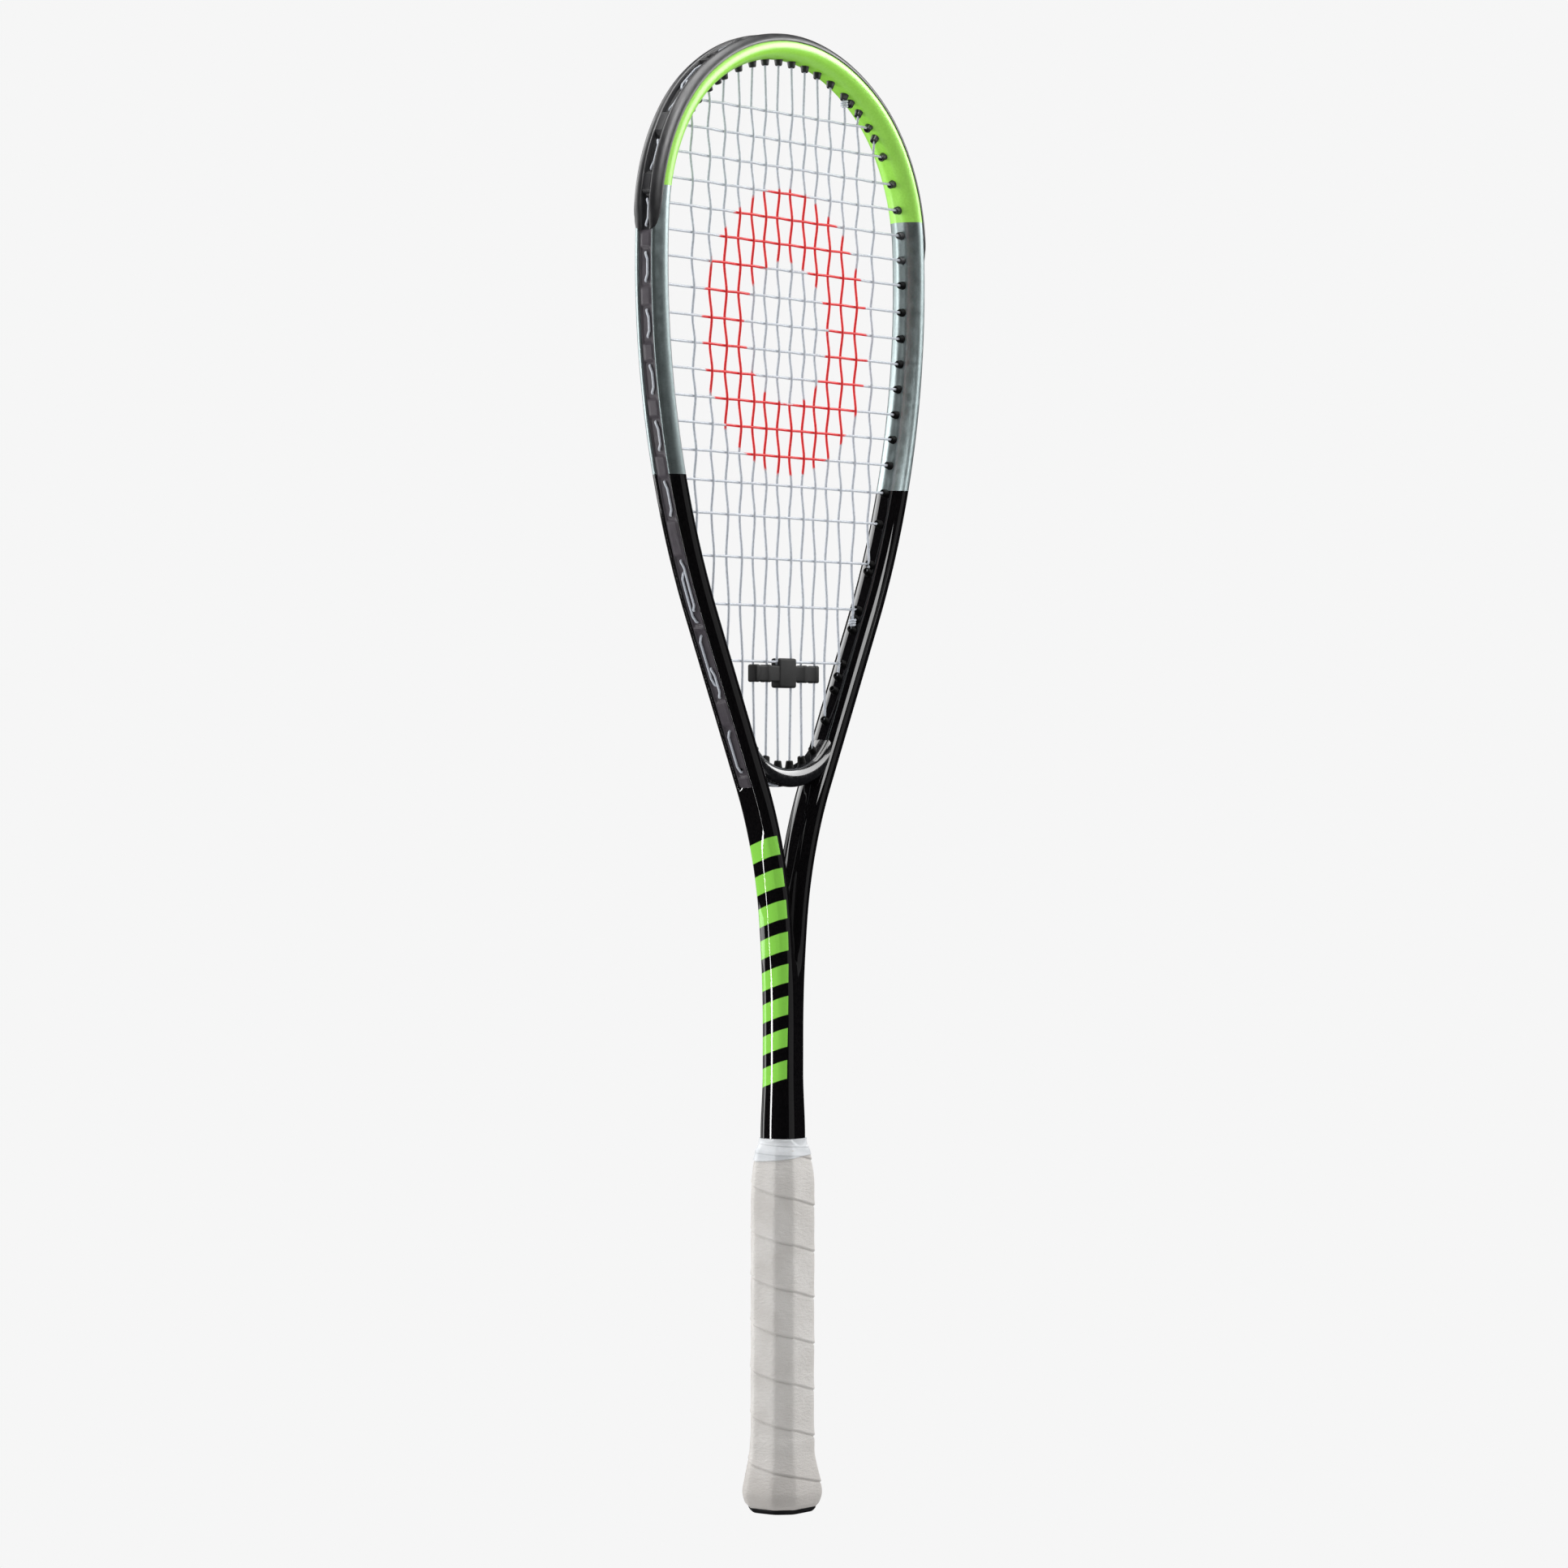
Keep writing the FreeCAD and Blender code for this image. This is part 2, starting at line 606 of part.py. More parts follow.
def make_cross_string():
    """Nineteen crosses as one string, right to left first, tied at both ends."""
    points = [CROSS_START_TIE["mouth"], CROSS_START_TIE["turn"]]
    points += channel_run(CROSS_START_TIE, SIDES[0], CROSS_LANE)
    leftward = True
    for j in range(len(CROSS_Z)):
        right, left = SIDES[j], mirrored_end(SIDES[j])
        strand = [left["turn"], left["mouth"]] + cross_crossings(j) + [right["mouth"], right["turn"]]
        points += strand[::-1] if leftward else strand
        if j + 1 < len(CROSS_Z):
            run = channel_run(SIDES[j], SIDES[j + 1], CROSS_LANE)
            points += flip(run) if leftward else run
        leftward = not leftward
    tail = channel_run(SIDES[-1], CROSS_END_TIE, CROSS_LANE)
    tail += [CROSS_END_TIE["turn"], CROSS_END_TIE["mouth"]]
    string = string_along(points + flip(tail), LOOP_BEND_R)
    start_knot = knot_on(TOPS[4]["mouth"], main_crossings(1, 4)[-1], KNOT_GAP)
    end_knot = knot_on(mirrored_end(BOTTOMS[4])["mouth"], main_crossings(-1, 4)[0], KNOT_GAP)
    return Part.makeCompound([string, start_knot, end_knot])


# ---- handle ------------------------------------------------------------------------------------
def grip_wire(shrink, scale, z):
    """The grip's octagon, moved inwards by shrink, at a height and relative size."""
    bevel = GRIP_BEVEL * scale - shrink * (2 - math.sqrt(2))
    return octagon(GRIP_X * scale - shrink, GRIP_Y * scale - shrink, bevel, z)


def grip_solid(shrink, levels):
    """A solid through the grip's octagons at (z, scale) levels."""
    return Part.makeLoft([grip_wire(shrink, scale, z) for z, scale in levels], True, True)


CORE_SHRINK = WRAP_THICK + TAPE_THICK
STRAIGHT_TOP = TAPER[0][0]
SKIRT_SCALE = 1.0 + (CAP_SKIRT - TAPE_THICK) / GRIP_X


def taper_levels(stop, start=STRAIGHT_TOP):
    """The taper's (z, scale) levels from start up to stop."""
    inner = [level for level in TAPER if start < level[0] < stop]
    return [(start, taper_scale(start))] + inner + [(stop, taper_scale(stop))]


def taper_scale(z):
    """Relative grip size at a height in the tapered top."""
    for (z0, scale0), (z1, scale1) in zip(TAPER, TAPER[1:]):
        if z <= z1:
            return scale0 + (scale1 - scale0) * (z - z0) / (z1 - z0)
    return TAPER[-1][1]


def shaft_bar():
    """The shaft's outside, to hollow the pieces that fit round it."""
    return shaft_solid(0.0, SHAFT_BOTTOM, SHAFT_TOP)


def staple(x, y, z, into):
    """A wire staple with its crown along X, legs running in the direction into (+1 or -1) of Y."""
    crown = slab(x - 4, x + 4, y - 0.2, y + 0.2, z - 0.4, z + 0.4)
    legs = []
    for side in (-1, 1):
        centre = x + side * 3.6
        ends = sorted((y, y + into * STAPLE_LEG))
        legs.append(slab(centre - 0.4, centre + 0.4, ends[0], ends[1], z - 0.4, z + 0.4))
    return joined([crown] + legs)


def cap_staples():
    """Two staples, front and back, that hold the butt cap on the handle core."""
    y = GRIP_Y - CORE_SHRINK + 0.35
    return [staple(0, -y, 25.0, 1), staple(0, y, 25.0, -1)]


def grip_tack():
    """The staple that holds the grip's starting end on the butt cap."""
    return staple(2.0, GRIP_Y * FLARE[2][1] - WRAP_THICK + 0.3, FLARE[2][0], -1)


def make_core():
    """The foam handle, moulded round the shaft."""
    levels = [(CORE_BOTTOM, 1.0)] + taper_levels(GRIP_TOP - 2.0)
    return grip_solid(CORE_SHRINK, levels).cut([shaft_bar()] + cap_staples())


def make_butt_cap():
    """The plastic butt cap: a flared skirt round the core, with a flat end."""
    skirt = grip_solid(WRAP_THICK, FLARE + [(FLARE_TOP, SKIRT_SCALE)])
    flange = grip_solid(0.0, CAP_BASE)
    pocket = grip_solid(CORE_SHRINK, [(CORE_BOTTOM, 1.0), (FLARE_TOP + 1, 1.0)])
    recess = rounded_box(*BUTT_RECESS, -1.0, RECESS_DEPTH)
    return joined([skirt, flange]).cut([pocket, recess, grip_tack()] + cap_staples())


def make_badge():
    """The blank plate in the butt cap's end."""
    size = [value - BADGE_GAP for value in BUTT_RECESS]
    return rounded_box(*size, RECESS_DEPTH - BADGE_THICK, RECESS_DEPTH)


def make_adhesive():
    """The thin adhesive layer under the grip."""
    outer = grip_solid(WRAP_THICK, [(FLARE_TOP, 1.0), (STRAIGHT_TOP, 1.0)])
    return outer.cut(grip_solid(CORE_SHRINK, [(FLARE_TOP - 1, 1.0), (STRAIGHT_TOP + 1, 1.0)]))


def make_wrap():
    """The cushioned grip, as the sleeve that its turns fill."""
    straight = [(FLARE_TOP, SKIRT_SCALE), (FLARE_TOP + 8, 1.0)]
    outer = grip_solid(0.0, FLARE + straight + taper_levels(GRIP_TOP))
    on_cap = grip_solid(WRAP_THICK, FLARE + [(FLARE_TOP, SKIRT_SCALE)])
    on_core = grip_solid(WRAP_THICK, [(FLARE_TOP, 1.0)] + taper_levels(GRIP_TOP))
    return outer.cut([on_cap, on_core, shaft_bar(), grip_tack()])


def make_finishing_tape():
    """The band of tape that closes the grip's top onto the shaft."""
    outer = grip_solid(-0.25, taper_levels(FINISH_TOP, FINISH_BOTTOM))
    grip = grip_solid(0.0, taper_levels(GRIP_TOP, FINISH_BOTTOM))
    core = grip_solid(CORE_SHRINK, taper_levels(GRIP_TOP - 2.0))
    return outer.cut([grip, core, shaft_bar()])


# ---- vibration dampener ------------------------------------------------------------------------
def centred_slab(x, half_x, half_y, z0, z1):
    """An upright box centred on the middle plane at x."""
    return slab(x - half_x, x + half_x, -half_y, half_y, z0, z1)


def make_dampener():
    """A rubber bar with a square middle, slotted for the six middle mains."""
    shapes = []
    for x, (half_x, half_y, half_z), rise in (
            [(0, DAMPER_BAR, 0.0), (0, DAMPER_BLOCK, BLOCK_RISE)]
            + [(side * main_x(i, DAMPER_Z), DAMPER_RIB, 0.0) for side in (-1, 1) for i in (1, 2)]):
        shapes.append(centred_slab(x, half_x, half_y, DAMPER_Z - half_z, DAMPER_Z + half_z + rise))
    slots = [centred_slab(side * main_x(i, DAMPER_Z - DAMPER_TRAVEL / 2), *STRING_SLOT,
                          DAMPER_Z - 10, DAMPER_Z + 10) for side in (-1, 1) for i in range(3)]
    cross_slot = centred_slab(0, 30, STRING_SLOT[1], DAMPER_Z + CROSS_SLOT_BOTTOM, DAMPER_Z + 10)
    return joined(shapes).cut(slots + [cross_slot])


# ---- build -------------------------------------------------------------------------------------
def main():
    os.makedirs("parts", exist_ok=True)
    side_strip = make_side_strip()
    save(make_frame(), "frame_tube")
    save(make_bridge(arm_solids()), "throat_bridge")
    save(make_bumper(), "bumper_guard")
    save(side_strip, "grommet_strip_right")
    save(side_strip.mirror(V(0, 0, 0), V(1, 0, 0)), "grommet_strip_left")
    save(make_bridge_strip(), "grommet_strip_bridge")
    save(make_main_string(), "main_string")
    save(make_cross_string(), "cross_string")
    save(make_core(), "handle_core")
    save(make_butt_cap(), "butt_cap")
    save(make_badge(), "butt_badge")
    save(Part.makeCompound(cap_staples()), "butt_cap_staples")
    save(grip_tack(), "grip_staple")
    save(make_adhesive(), "grip_adhesive")
    save(make_wrap(), "grip_wrap")
    save(make_finishing_tape(), "finishing_tape")
    save(make_dampener(), "vibration_dampener")


main()
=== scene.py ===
import math
import bmesh
import bpy
import numpy as np
from mathutils import Matrix, Vector


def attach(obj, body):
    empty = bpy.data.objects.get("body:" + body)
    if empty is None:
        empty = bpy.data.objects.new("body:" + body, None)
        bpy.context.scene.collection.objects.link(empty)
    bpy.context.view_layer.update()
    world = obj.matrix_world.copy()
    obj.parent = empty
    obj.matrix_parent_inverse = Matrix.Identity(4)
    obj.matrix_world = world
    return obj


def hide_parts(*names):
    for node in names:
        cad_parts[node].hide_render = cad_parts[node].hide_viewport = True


# Squash racket standing on its butt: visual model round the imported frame.
# Lengths below are millimetres; meshes are scaled to metres when they are made.

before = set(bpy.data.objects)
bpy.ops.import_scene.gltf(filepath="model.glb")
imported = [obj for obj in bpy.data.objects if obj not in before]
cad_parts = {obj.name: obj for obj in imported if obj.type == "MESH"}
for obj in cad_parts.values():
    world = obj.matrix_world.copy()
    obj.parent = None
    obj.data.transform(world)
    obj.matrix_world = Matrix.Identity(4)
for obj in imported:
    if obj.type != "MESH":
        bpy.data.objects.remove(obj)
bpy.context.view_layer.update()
MM = 0.001

# ---- the racket's own dimensions ----
TUBE_OUT, TUBE_IN, BUMPER_RISE = 4.9, 5.0, 1.3
APEX_Z = 686.0 - BUMPER_RISE - TUBE_OUT
ARCS = [(110.0, 34.7), (84.4, 51.9), (361.9, 29.5)]      # radius, turn in degrees
ARM_STRAIGHT, ARM_END_X, ARM_TAIL = 85.8, 3.5, 14.0
FLARE_END_R, FLARE_END_TURN = 500.0, 6.0
CHANNEL_FLOOR, CHANNEL_HALF, CHANNEL_END_Z = 3.0, 3.7, 336.0
BUMPER_END_Z = 587.0
STRIP_THICK = 0.8
BRIDGE_CENTRE_Z, BRIDGE_IN_R, BRIDGE_OUT_R = 387.4, 42.0, 51.0
BRIDGE_MID_R = (BRIDGE_IN_R + BRIDGE_OUT_R) / 2
BRIDGE_CHANNEL_R, BRIDGE_CHANNEL_ANGLE = 49.2, 23.4
BARREL_R, BARREL_BORE_R, BARREL_PROUD, BARREL_TILT = 1.7, 0.85, 1.4, 5.0
STRING_R, WEAVE = 0.6, 0.68
MAIN_LANE, CROSS_LANE, LANE_START, LOOP_STEP, LOOP_BEND_R = 1.3, -1.3, 3.2, 9.0, 0.9
STRING_LINE = CHANNEL_FLOOR + STRIP_THICK + STRING_R + 0.05
BRIDGE_LINE = BRIDGE_CHANNEL_R + STRIP_THICK + STRING_R + 0.05 - BRIDGE_MID_R
MAIN_X = [5.0, 15.3, 25.0, 35.5, 46.4, 58.0, 71.2]
MAIN_FAN, FAN_Z = 3.2e-4, 660.0
CROSS_Z = [649.7, 637.0, 624.6, 612.6, 600.7, 588.9, 576.9, 563.9, 551.2, 539.0,
           526.9, 514.6, 502.6, 490.1, 476.7, 461.8, 442.4, 420.5, 394.7]
TIE_STEP, JUNCTION_DROP_Z, KNOT_GAP = 6.5, 343.5, 2.3
GRIP_X, GRIP_Y, GRIP_BEVEL = 14.3, 12.6, 6.3
SHAFT_X, SHAFT_Y, SHAFT_CORNER = 8.6, 8.4, 6.1
DAMPER_Z, DAMPER_TRAVEL = 389.2, 28.0
WRAP_PITCH = 21.4


# ---- mesh tools ----
def smoothstep(low, high, value):
    t = np.clip((np.asarray(value, float) - low) / (high - low), 0.0, 1.0)
    return t * t * (3 - 2 * t)


def ramp(low, high, value):
    return float(smoothstep(low, high, value))


def in_scene(name, data):
    obj = bpy.data.objects.new(name, data)
    bpy.context.scene.collection.objects.link(obj)
    return obj


def add_object(name, mesh, material, body="racket"):
    """A piece that rides on a body and takes the material it is given."""
    mesh.name = name
    mesh.materials.clear()
    mesh.materials.append(material)
    obj = in_scene(name, mesh)
    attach(obj, body)
    return obj


def add_skin(node, mesh, material, body="racket"):
    """A piece that stands for a CAD node."""
    obj = add_object(node + "_skin", mesh, material, body)
    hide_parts(node)
    return obj


def mesh_of(points, faces, sharp=60.0):
    """A mesh from millimetre points, smooth apart from edges sharper than the angle."""
    mesh = bpy.data.meshes.new("mesh")
    mesh.from_pydata((np.asarray(points, float) * MM).tolist(), [], faces)
    mesh.validate()
    tidy(mesh, sharp)
    return mesh


def tidy(mesh, sharp):
    """Outward normals, and smooth shading between sharp edges."""
    bm = bmesh.new()
    bm.from_mesh(mesh)
    bmesh.ops.recalc_face_normals(bm, faces=bm.faces)
    bm.to_mesh(mesh)
    bm.free()
    mesh.polygons.foreach_set("use_smooth", [True] * len(mesh.polygons))
    mesh.set_sharp_from_angle(angle=math.radians(sharp))


def grid(rings, cap_start=True):
    """Points and faces of rings of equal length, joined in order, with the ends closed."""
    rings = np.asarray(rings, float)
    count, around = rings.shape[:2]
    faces = []
    for a in range(0, (count - 1) * around, around):
        for j in range(around):
            n = (j + 1) % around
            faces.append((a + j, a + n, a + around + n, a + around + j))
    if cap_start:
        faces.append(tuple(range(around))[::-1])
    faces.append(tuple(range((count - 1) * around, count * around)))
    return rings.reshape(-1, 3), faces


def mirrored(half):
    """The other half of a section of (outward, depth) points, in reverse order."""
    return [(o, -d) for o, d in reversed(half)]


def circle(side, up, around):
    """Unit vectors round a circle in the plane of side and up."""
    angles = np.arange(around) * 2 * math.pi / around
    return np.cos(angles)[:, None] * side + np.sin(angles)[:, None] * up


class Bundle:
    """Several closed surfaces collected into one mesh."""

    def __init__(self):
        self.points, self.faces, self.total = [], [], 0

    def add(self, points, faces):
        self.points.append(np.asarray(points, float))
        self.faces += [tuple(i + self.total for i in face) for face in faces]
        self.total += len(points)

    def mesh(self, sharp=60.0):
        return mesh_of(np.concatenate(self.points), self.faces, sharp)


def everything(bm):
    return bm.verts[:] + bm.edges[:] + bm.faces[:]


def mirrored_mesh(points, faces, sharp):
    """A right-hand half, cut at X = 0 and joined to its mirror image."""
    bm = bmesh.new()
    verts = [bm.verts.new(p) for p in np.asarray(points, float) * MM]
    for face in faces:
        bm.faces.new([verts[i] for i in face])
    bmesh.ops.bisect_plane(bm, geom=everything(bm), dist=1e-7, plane_co=(0, 0, 0), plane_no=(1, 0, 0),
                           clear_inner=True)
    for v in bm.verts:
        if abs(v.co.x) < 2e-6:
            v.co.x = 0.0
    bmesh.ops.mirror(bm, geom=everything(bm), matrix=Matrix.Identity(4), merge_dist=1e-6, axis="X")
    bmesh.ops.remove_doubles(bm, verts=bm.verts, dist=1e-6)
    mesh = bpy.data.meshes.new("mesh")
    bm.to_mesh(mesh)
    bm.free()
    tidy(mesh, sharp)
    return mesh


def catmull(points, per):
    """A smooth open line through the points."""
    p = np.asarray(points, float)
    p = np.vstack([2 * p[0] - p[1], p, 2 * p[-1] - p[-2]])
    line = []
    for k in range(1, len(p) - 2):
        for t in np.arange(per) / per:
            line.append(0.5 * (2 * p[k] + (p[k + 1] - p[k - 1]) * t
                               + (2 * p[k - 1] - 5 * p[k] + 4 * p[k + 1] - p[k + 2]) * t ** 2
                               + (3 * p[k] - p[k - 1] - 3 * p[k + 1] + p[k + 2]) * t ** 3))
    line.append(p[-2])
    return np.array(line)


def rounded_line(points, radius):
    """Straight runs with round corners, as close points."""
    p = np.asarray(points, float)
    line = [p[0]]
    for k in range(1, len(p) - 1):
        come, leave = p[k] - p[k - 1], p[k + 1] - p[k]
        lengths = np.linalg.norm(come), np.linalg.norm(leave)
        come, leave = come / lengths[0], leave / lengths[1]
        half = math.acos(max(-1.0, min(1.0, float(come @ leave)))) / 2
        if half < 1e-3:
            line.append(p[k])
            continue
        inset = min(radius * math.tan(half), 0.45 * min(lengths))
        a, b = p[k] - come * inset, p[k] + leave * inset
        count = max(2, int(5 * min(1.0, half / 0.5)) + 1)
        for t in np.linspace(0, 1, count):
            line.append((1 - t) ** 2 * a + 2 * t * (1 - t) * p[k] + t * t * b)
    line.append(p[-1])
    return np.array(line)


def tube_along(line, radius, around=10):
    """A round tube along close points, its ends closed."""
    line = np.asarray(line, float)
    tangent = np.gradient(line, axis=0)
    tangent /= np.linalg.norm(tangent, axis=1)[:, None]
    side = np.cross(tangent[0], (0.0, 0.0, 1.0) if abs(tangent[0][2]) < 0.9 else (1.0, 0.0, 0.0))
    rings = []
    for centre, along in zip(line, tangent):
        side = side - along * (side @ along)
        side /= np.linalg.norm(side)
        rings.append(centre + radius * circle(side, np.cross(along, side), around))
    return grid(rings)


def lathe(origin, axis, profile, around=20):
    """A surface of revolution: profile is (distance along the axis, radius), ends closed."""
    axis = np.asarray(axis, float) / np.linalg.norm(axis)
    side = np.cross(axis, (0.0, 1.0, 0.0))
    side /= np.linalg.norm(side)
    ring = circle(side, np.cross(axis, side), around)
    return grid([np.asarray(origin) + axis * d + r * ring for d, r in profile])


def halved(low, high, further, steps=40):
    """Halves low..high towards where further turns false. Gives the low end, and the last middle."""
    for _ in range(steps):
        middle = (low + high) / 2
        if further(middle):
            low = middle
        else:
            high = middle
    return low, middle


# ---- the hoop's centreline, right half ----
def along_piece(piece, distance):
    x, z, heading, radius, _ = piece
    if radius is None:
        return x + distance * math.cos(heading), z - distance * math.sin(heading), heading
    cx, cz = x - radius * math.sin(heading), z - radius * math.cos(heading)
    turned = heading + distance / radius
    return cx + radius * math.sin(turned), cz + radius * math.cos(turned), turned


def outline_pieces():
    x, z, heading, pieces = 0.0, APEX_Z, 0.0, []

    def add(radius, length):
        nonlocal x, z, heading
        pieces.append((x, z, heading, radius, length))
        x, z, heading = along_piece(pieces[-1], length)

    for radius, turn in ARCS:
        add(radius, radius * math.radians(turn))
    add(None, ARM_STRAIGHT)
    start = math.radians(sum(turn for _, turn in ARCS) - 90.0)
    last = math.radians(FLARE_END_TURN)
    shift = FLARE_END_R * (1 - math.cos(last))
    flare_r = (x - ARM_END_X - shift) / (math.cos(last) - math.cos(start))
    add(-flare_r, flare_r * (start - last))
    add(-FLARE_END_R, FLARE_END_R * last)
    add(None, ARM_TAIL)
    return pieces


PIECES = outline_pieces()
OUTLINE_LENGTH = sum(piece[4] for piece in PIECES)


def outline_at(s):
    """Centreline (x, z) and outward normal (x, z) at arc length s from the apex."""
    for piece in PIECES:
        if s <= piece[4] or piece is PIECES[-1]:
            x, z, heading = along_piece(piece, s)
            return np.array([x, z]), np.array([math.sin(heading), math.cos(heading)])
        s -= piece[4]


def s_at_height(height):
    return halved(0.0, OUTLINE_LENGTH, lambda s: outline_at(s)[0][1] > height)[0]


def bridge_at(s):
    angle = s / BRIDGE_MID_R
    normal = np.array([math.sin(angle), -math.cos(angle)])
    return np.array([0.0, BRIDGE_CENTRE_Z]) + normal * BRIDGE_MID_R, normal


# ---- where the strings pass the frame ----
def leaned(normal, pull):
    angle = math.acos(max(-1.0, min(1.0, float(normal @ pull))))
    part = min(1.0, math.radians(BARREL_TILT) / max(angle, 1e-6))
    lean = normal * math.sin((1 - part) * angle) + pull * math.sin(part * angle)
    return lean / np.linalg.norm(lean)


def end_of(middle, axis, s, inner=TUBE_IN, line=STRING_LINE):
    return {"s": s, "mouth": middle - axis * (inner + BARREL_PROUD), "turn": middle + axis * line,
            "axis": axis}


def find_end(low, high, point, pull, place_at=outline_at, inner=TUBE_IN, line=STRING_LINE):
    """The string end whose inner mouth lies on the string's line."""
    across = np.array([pull[1], -pull[0]])

    def miss(s):
        middle, normal = place_at(s)
        return (middle - leaned(normal, pull) * (inner + BARREL_PROUD) - point) @ across

    sign = 1 if miss(low) > 0 else -1
    s = halved(low, high, lambda place: miss(place) * sign > 0, 45)[1]
    middle, normal = place_at(s)
    return end_of(middle, leaned(normal, pull), s, inner, line)


def main_x(i, z):
    return MAIN_X[i] * (1 - MAIN_FAN * (FAN_Z - z))


WIDEST_S = sum(r * math.radians(t) for r, t in ARCS[:2]) + ARCS[2][0] * math.radians(
    90.0 - ARCS[0][1] - ARCS[1][1])
BRIDGE_MAINS = 2


def string_ends():
    """The mains' top and bottom ends from the middle outwards, and the crosses' ends downwards."""
    tops, bottoms = [], []
    for i, x in enumerate(MAIN_X):
        point, pull = np.array([x, FAN_Z]), np.array([x * MAIN_FAN, 1.0])
        pull /= np.linalg.norm(pull)
        tops.append(find_end(0.0, WIDEST_S, point, pull))
        bottoms.append(find_end(0.0, BRIDGE_MID_R * math.radians(45), point, -pull, bridge_at,
                                BRIDGE_MID_R - BRIDGE_IN_R, BRIDGE_LINE) if i <= BRIDGE_MAINS else
                       find_end(WIDEST_S, OUTLINE_LENGTH - 60, point, -pull))
    s = s_at_height(JUNCTION_DROP_Z + 1.5)
    middle, normal = outline_at(s)
    mouth, turn = bottoms[BRIDGE_MAINS]["mouth"], middle + normal * STRING_LINE
    bottoms[BRIDGE_MAINS] = {"s": s, "mouth": mouth, "turn": turn,
                             "axis": (turn - mouth) / np.linalg.norm(turn - mouth)}
    return tops, bottoms, [find_end(0.0, OUTLINE_LENGTH - 60, np.array([0.0, z]), np.array([1.0, 0.0]))
                           for z in CROSS_Z]


TOPS, BOTTOMS, SIDES = string_ends()


def tie_hole(beside, step):
    middle, normal = outline_at(beside["s"] + step)
    return end_of(middle, normal, beside["s"] + step)


MAIN_TIE, CROSS_START_TIE, CROSS_END_TIE = (
    tie_hole(BOTTOMS[5], -TIE_STEP), tie_hole(TOPS[4], TIE_STEP), tie_hole(BOTTOMS[4], TIE_STEP))
OUTLINE_ENDS = TOPS + BOTTOMS[BRIDGE_MAINS:] + SIDES + [MAIN_TIE, CROSS_START_TIE, CROSS_END_TIE]


def deep(p, y=0.0, side=1):
    """A point of the face's plane as a 3-D point."""
    return np.array([side * p[0], y, p[1]])


def loops_on(side):
    """Arc-length ranges where a string lies in the outer channel on one side."""
    pairs = [(TOPS[i], TOPS[i + 1]) for i in (1, 3, 5)] + [(BOTTOMS[i], BOTTOMS[i + 1]) for i in (2, 4)]
    pairs.append((BOTTOMS[6], MAIN_TIE))
    first = 0 if side < 0 else 1
    pairs += [(SIDES[j], SIDES[j + 1]) for j in range(first, len(SIDES) - 1, 2)]
    pairs.append((CROSS_START_TIE, SIDES[0]) if side > 0 else (SIDES[-1], CROSS_END_TIE))
    ranges = [sorted((a["s"], b["s"])) for a, b in pairs]
    return ranges + [[-TOPS[0]["s"], TOPS[0]["s"]]] + [[e["s"], e["s"]] for e in OUTLINE_ENDS]


def pad_height(s, ranges):
    """1 where the channel's pad is raised, 0 where a string or a hole needs room."""
    room = min(max(a - s, s - b, 0.0) for a, b in ranges)
    return ramp(1.7, 2.7, room)


# ---- materials ----
class Paint:
    """A node material. Its coordinates and its noise scales are in metres of the frame."""

    def __init__(self, name, **constants):
        self.material = bpy.data.materials.new(name)
        self.material.use_nodes = True
        self.tree = self.material.node_tree
        self.shader = self.tree.nodes["Principled BSDF"]
        for socket, value in constants.items():
            self.shader.inputs[socket.replace("_", " ")].default_value = value
        self.coords = self.node("TexCoord", {})["Object"]
        self.x, self.y, self.z = self.node("SeparateXYZ", {0: self.coords})
        self.height = None

    def link(self, a, b):
        self.tree.links.new(a, b)

    def node(self, kind, inputs, **settings):
        """A shader node; its inputs, by name or number, get values or links."""
        made = self.tree.nodes.new("ShaderNode" + kind)
        for key, value in settings.items():
            setattr(made, key, value)
        for key, value in inputs.items():
            if isinstance(value, bpy.types.NodeSocket):
                self.link(value, made.inputs[key])
            else:
                made.inputs[key].default_value = value
        return made.outputs

    def math(self, operation, *values):
        return self.node("Math", dict(enumerate(values)), operation=operation)[0]

    def product(self, first, *others):
        for other in others:
            first = self.math("MULTIPLY", first, other)
        return first

    def step(self, value, low=0.3, high=0.7, out_low=0.0, out_high=1.0):
        return self.node("MapRange", dict(enumerate((value, low, high, out_low, out_high))),
                         interpolation_type="SMOOTHSTEP")[0]

    def noise(self, scale, detail=3.0, stretch=(1.0, 1.0, 1.0), rough=0.55):
        return self.node("TexNoise", {"Scale": scale, "Detail": detail, "Roughness": rough,
                                      "Vector": self.stretched(stretch)})["Fac"]

    def cells(self, scale):
        return self.node("TexVoronoi", {"Scale": scale, "Vector": self.coords})["Distance"]

    def stretched(self, stretch):
        if set(stretch) == {1.0}:
            return self.coords
        return self.node("Mapping", {"Scale": stretch, "Vector": self.coords})[0]

    def mix(self, amount, a, b):
        a, b = (v if isinstance(v, bpy.types.NodeSocket) else (*v, 1.0) for v in (a, b))
        return self.node("Mix", {0: amount, 6: a, 7: b}, data_type="RGBA")[2]

    def bump(self, height, distance, strength=0.5):
        """Adds a bump; distance is in metres."""
        inputs = {"Strength": strength, "Distance": distance, "Height": height}
        if self.height is not None:
            inputs["Normal"] = self.height
        self.height = self.node("Bump", inputs)[0]

    def done(self, colour, roughness):
        self.link(colour, self.shader.inputs["Base Color"])
        self.link(roughness, self.shader.inputs["Roughness"])
        if self.height is not None:
            self.link(self.height, self.shader.inputs["Normal"])
        return self.material


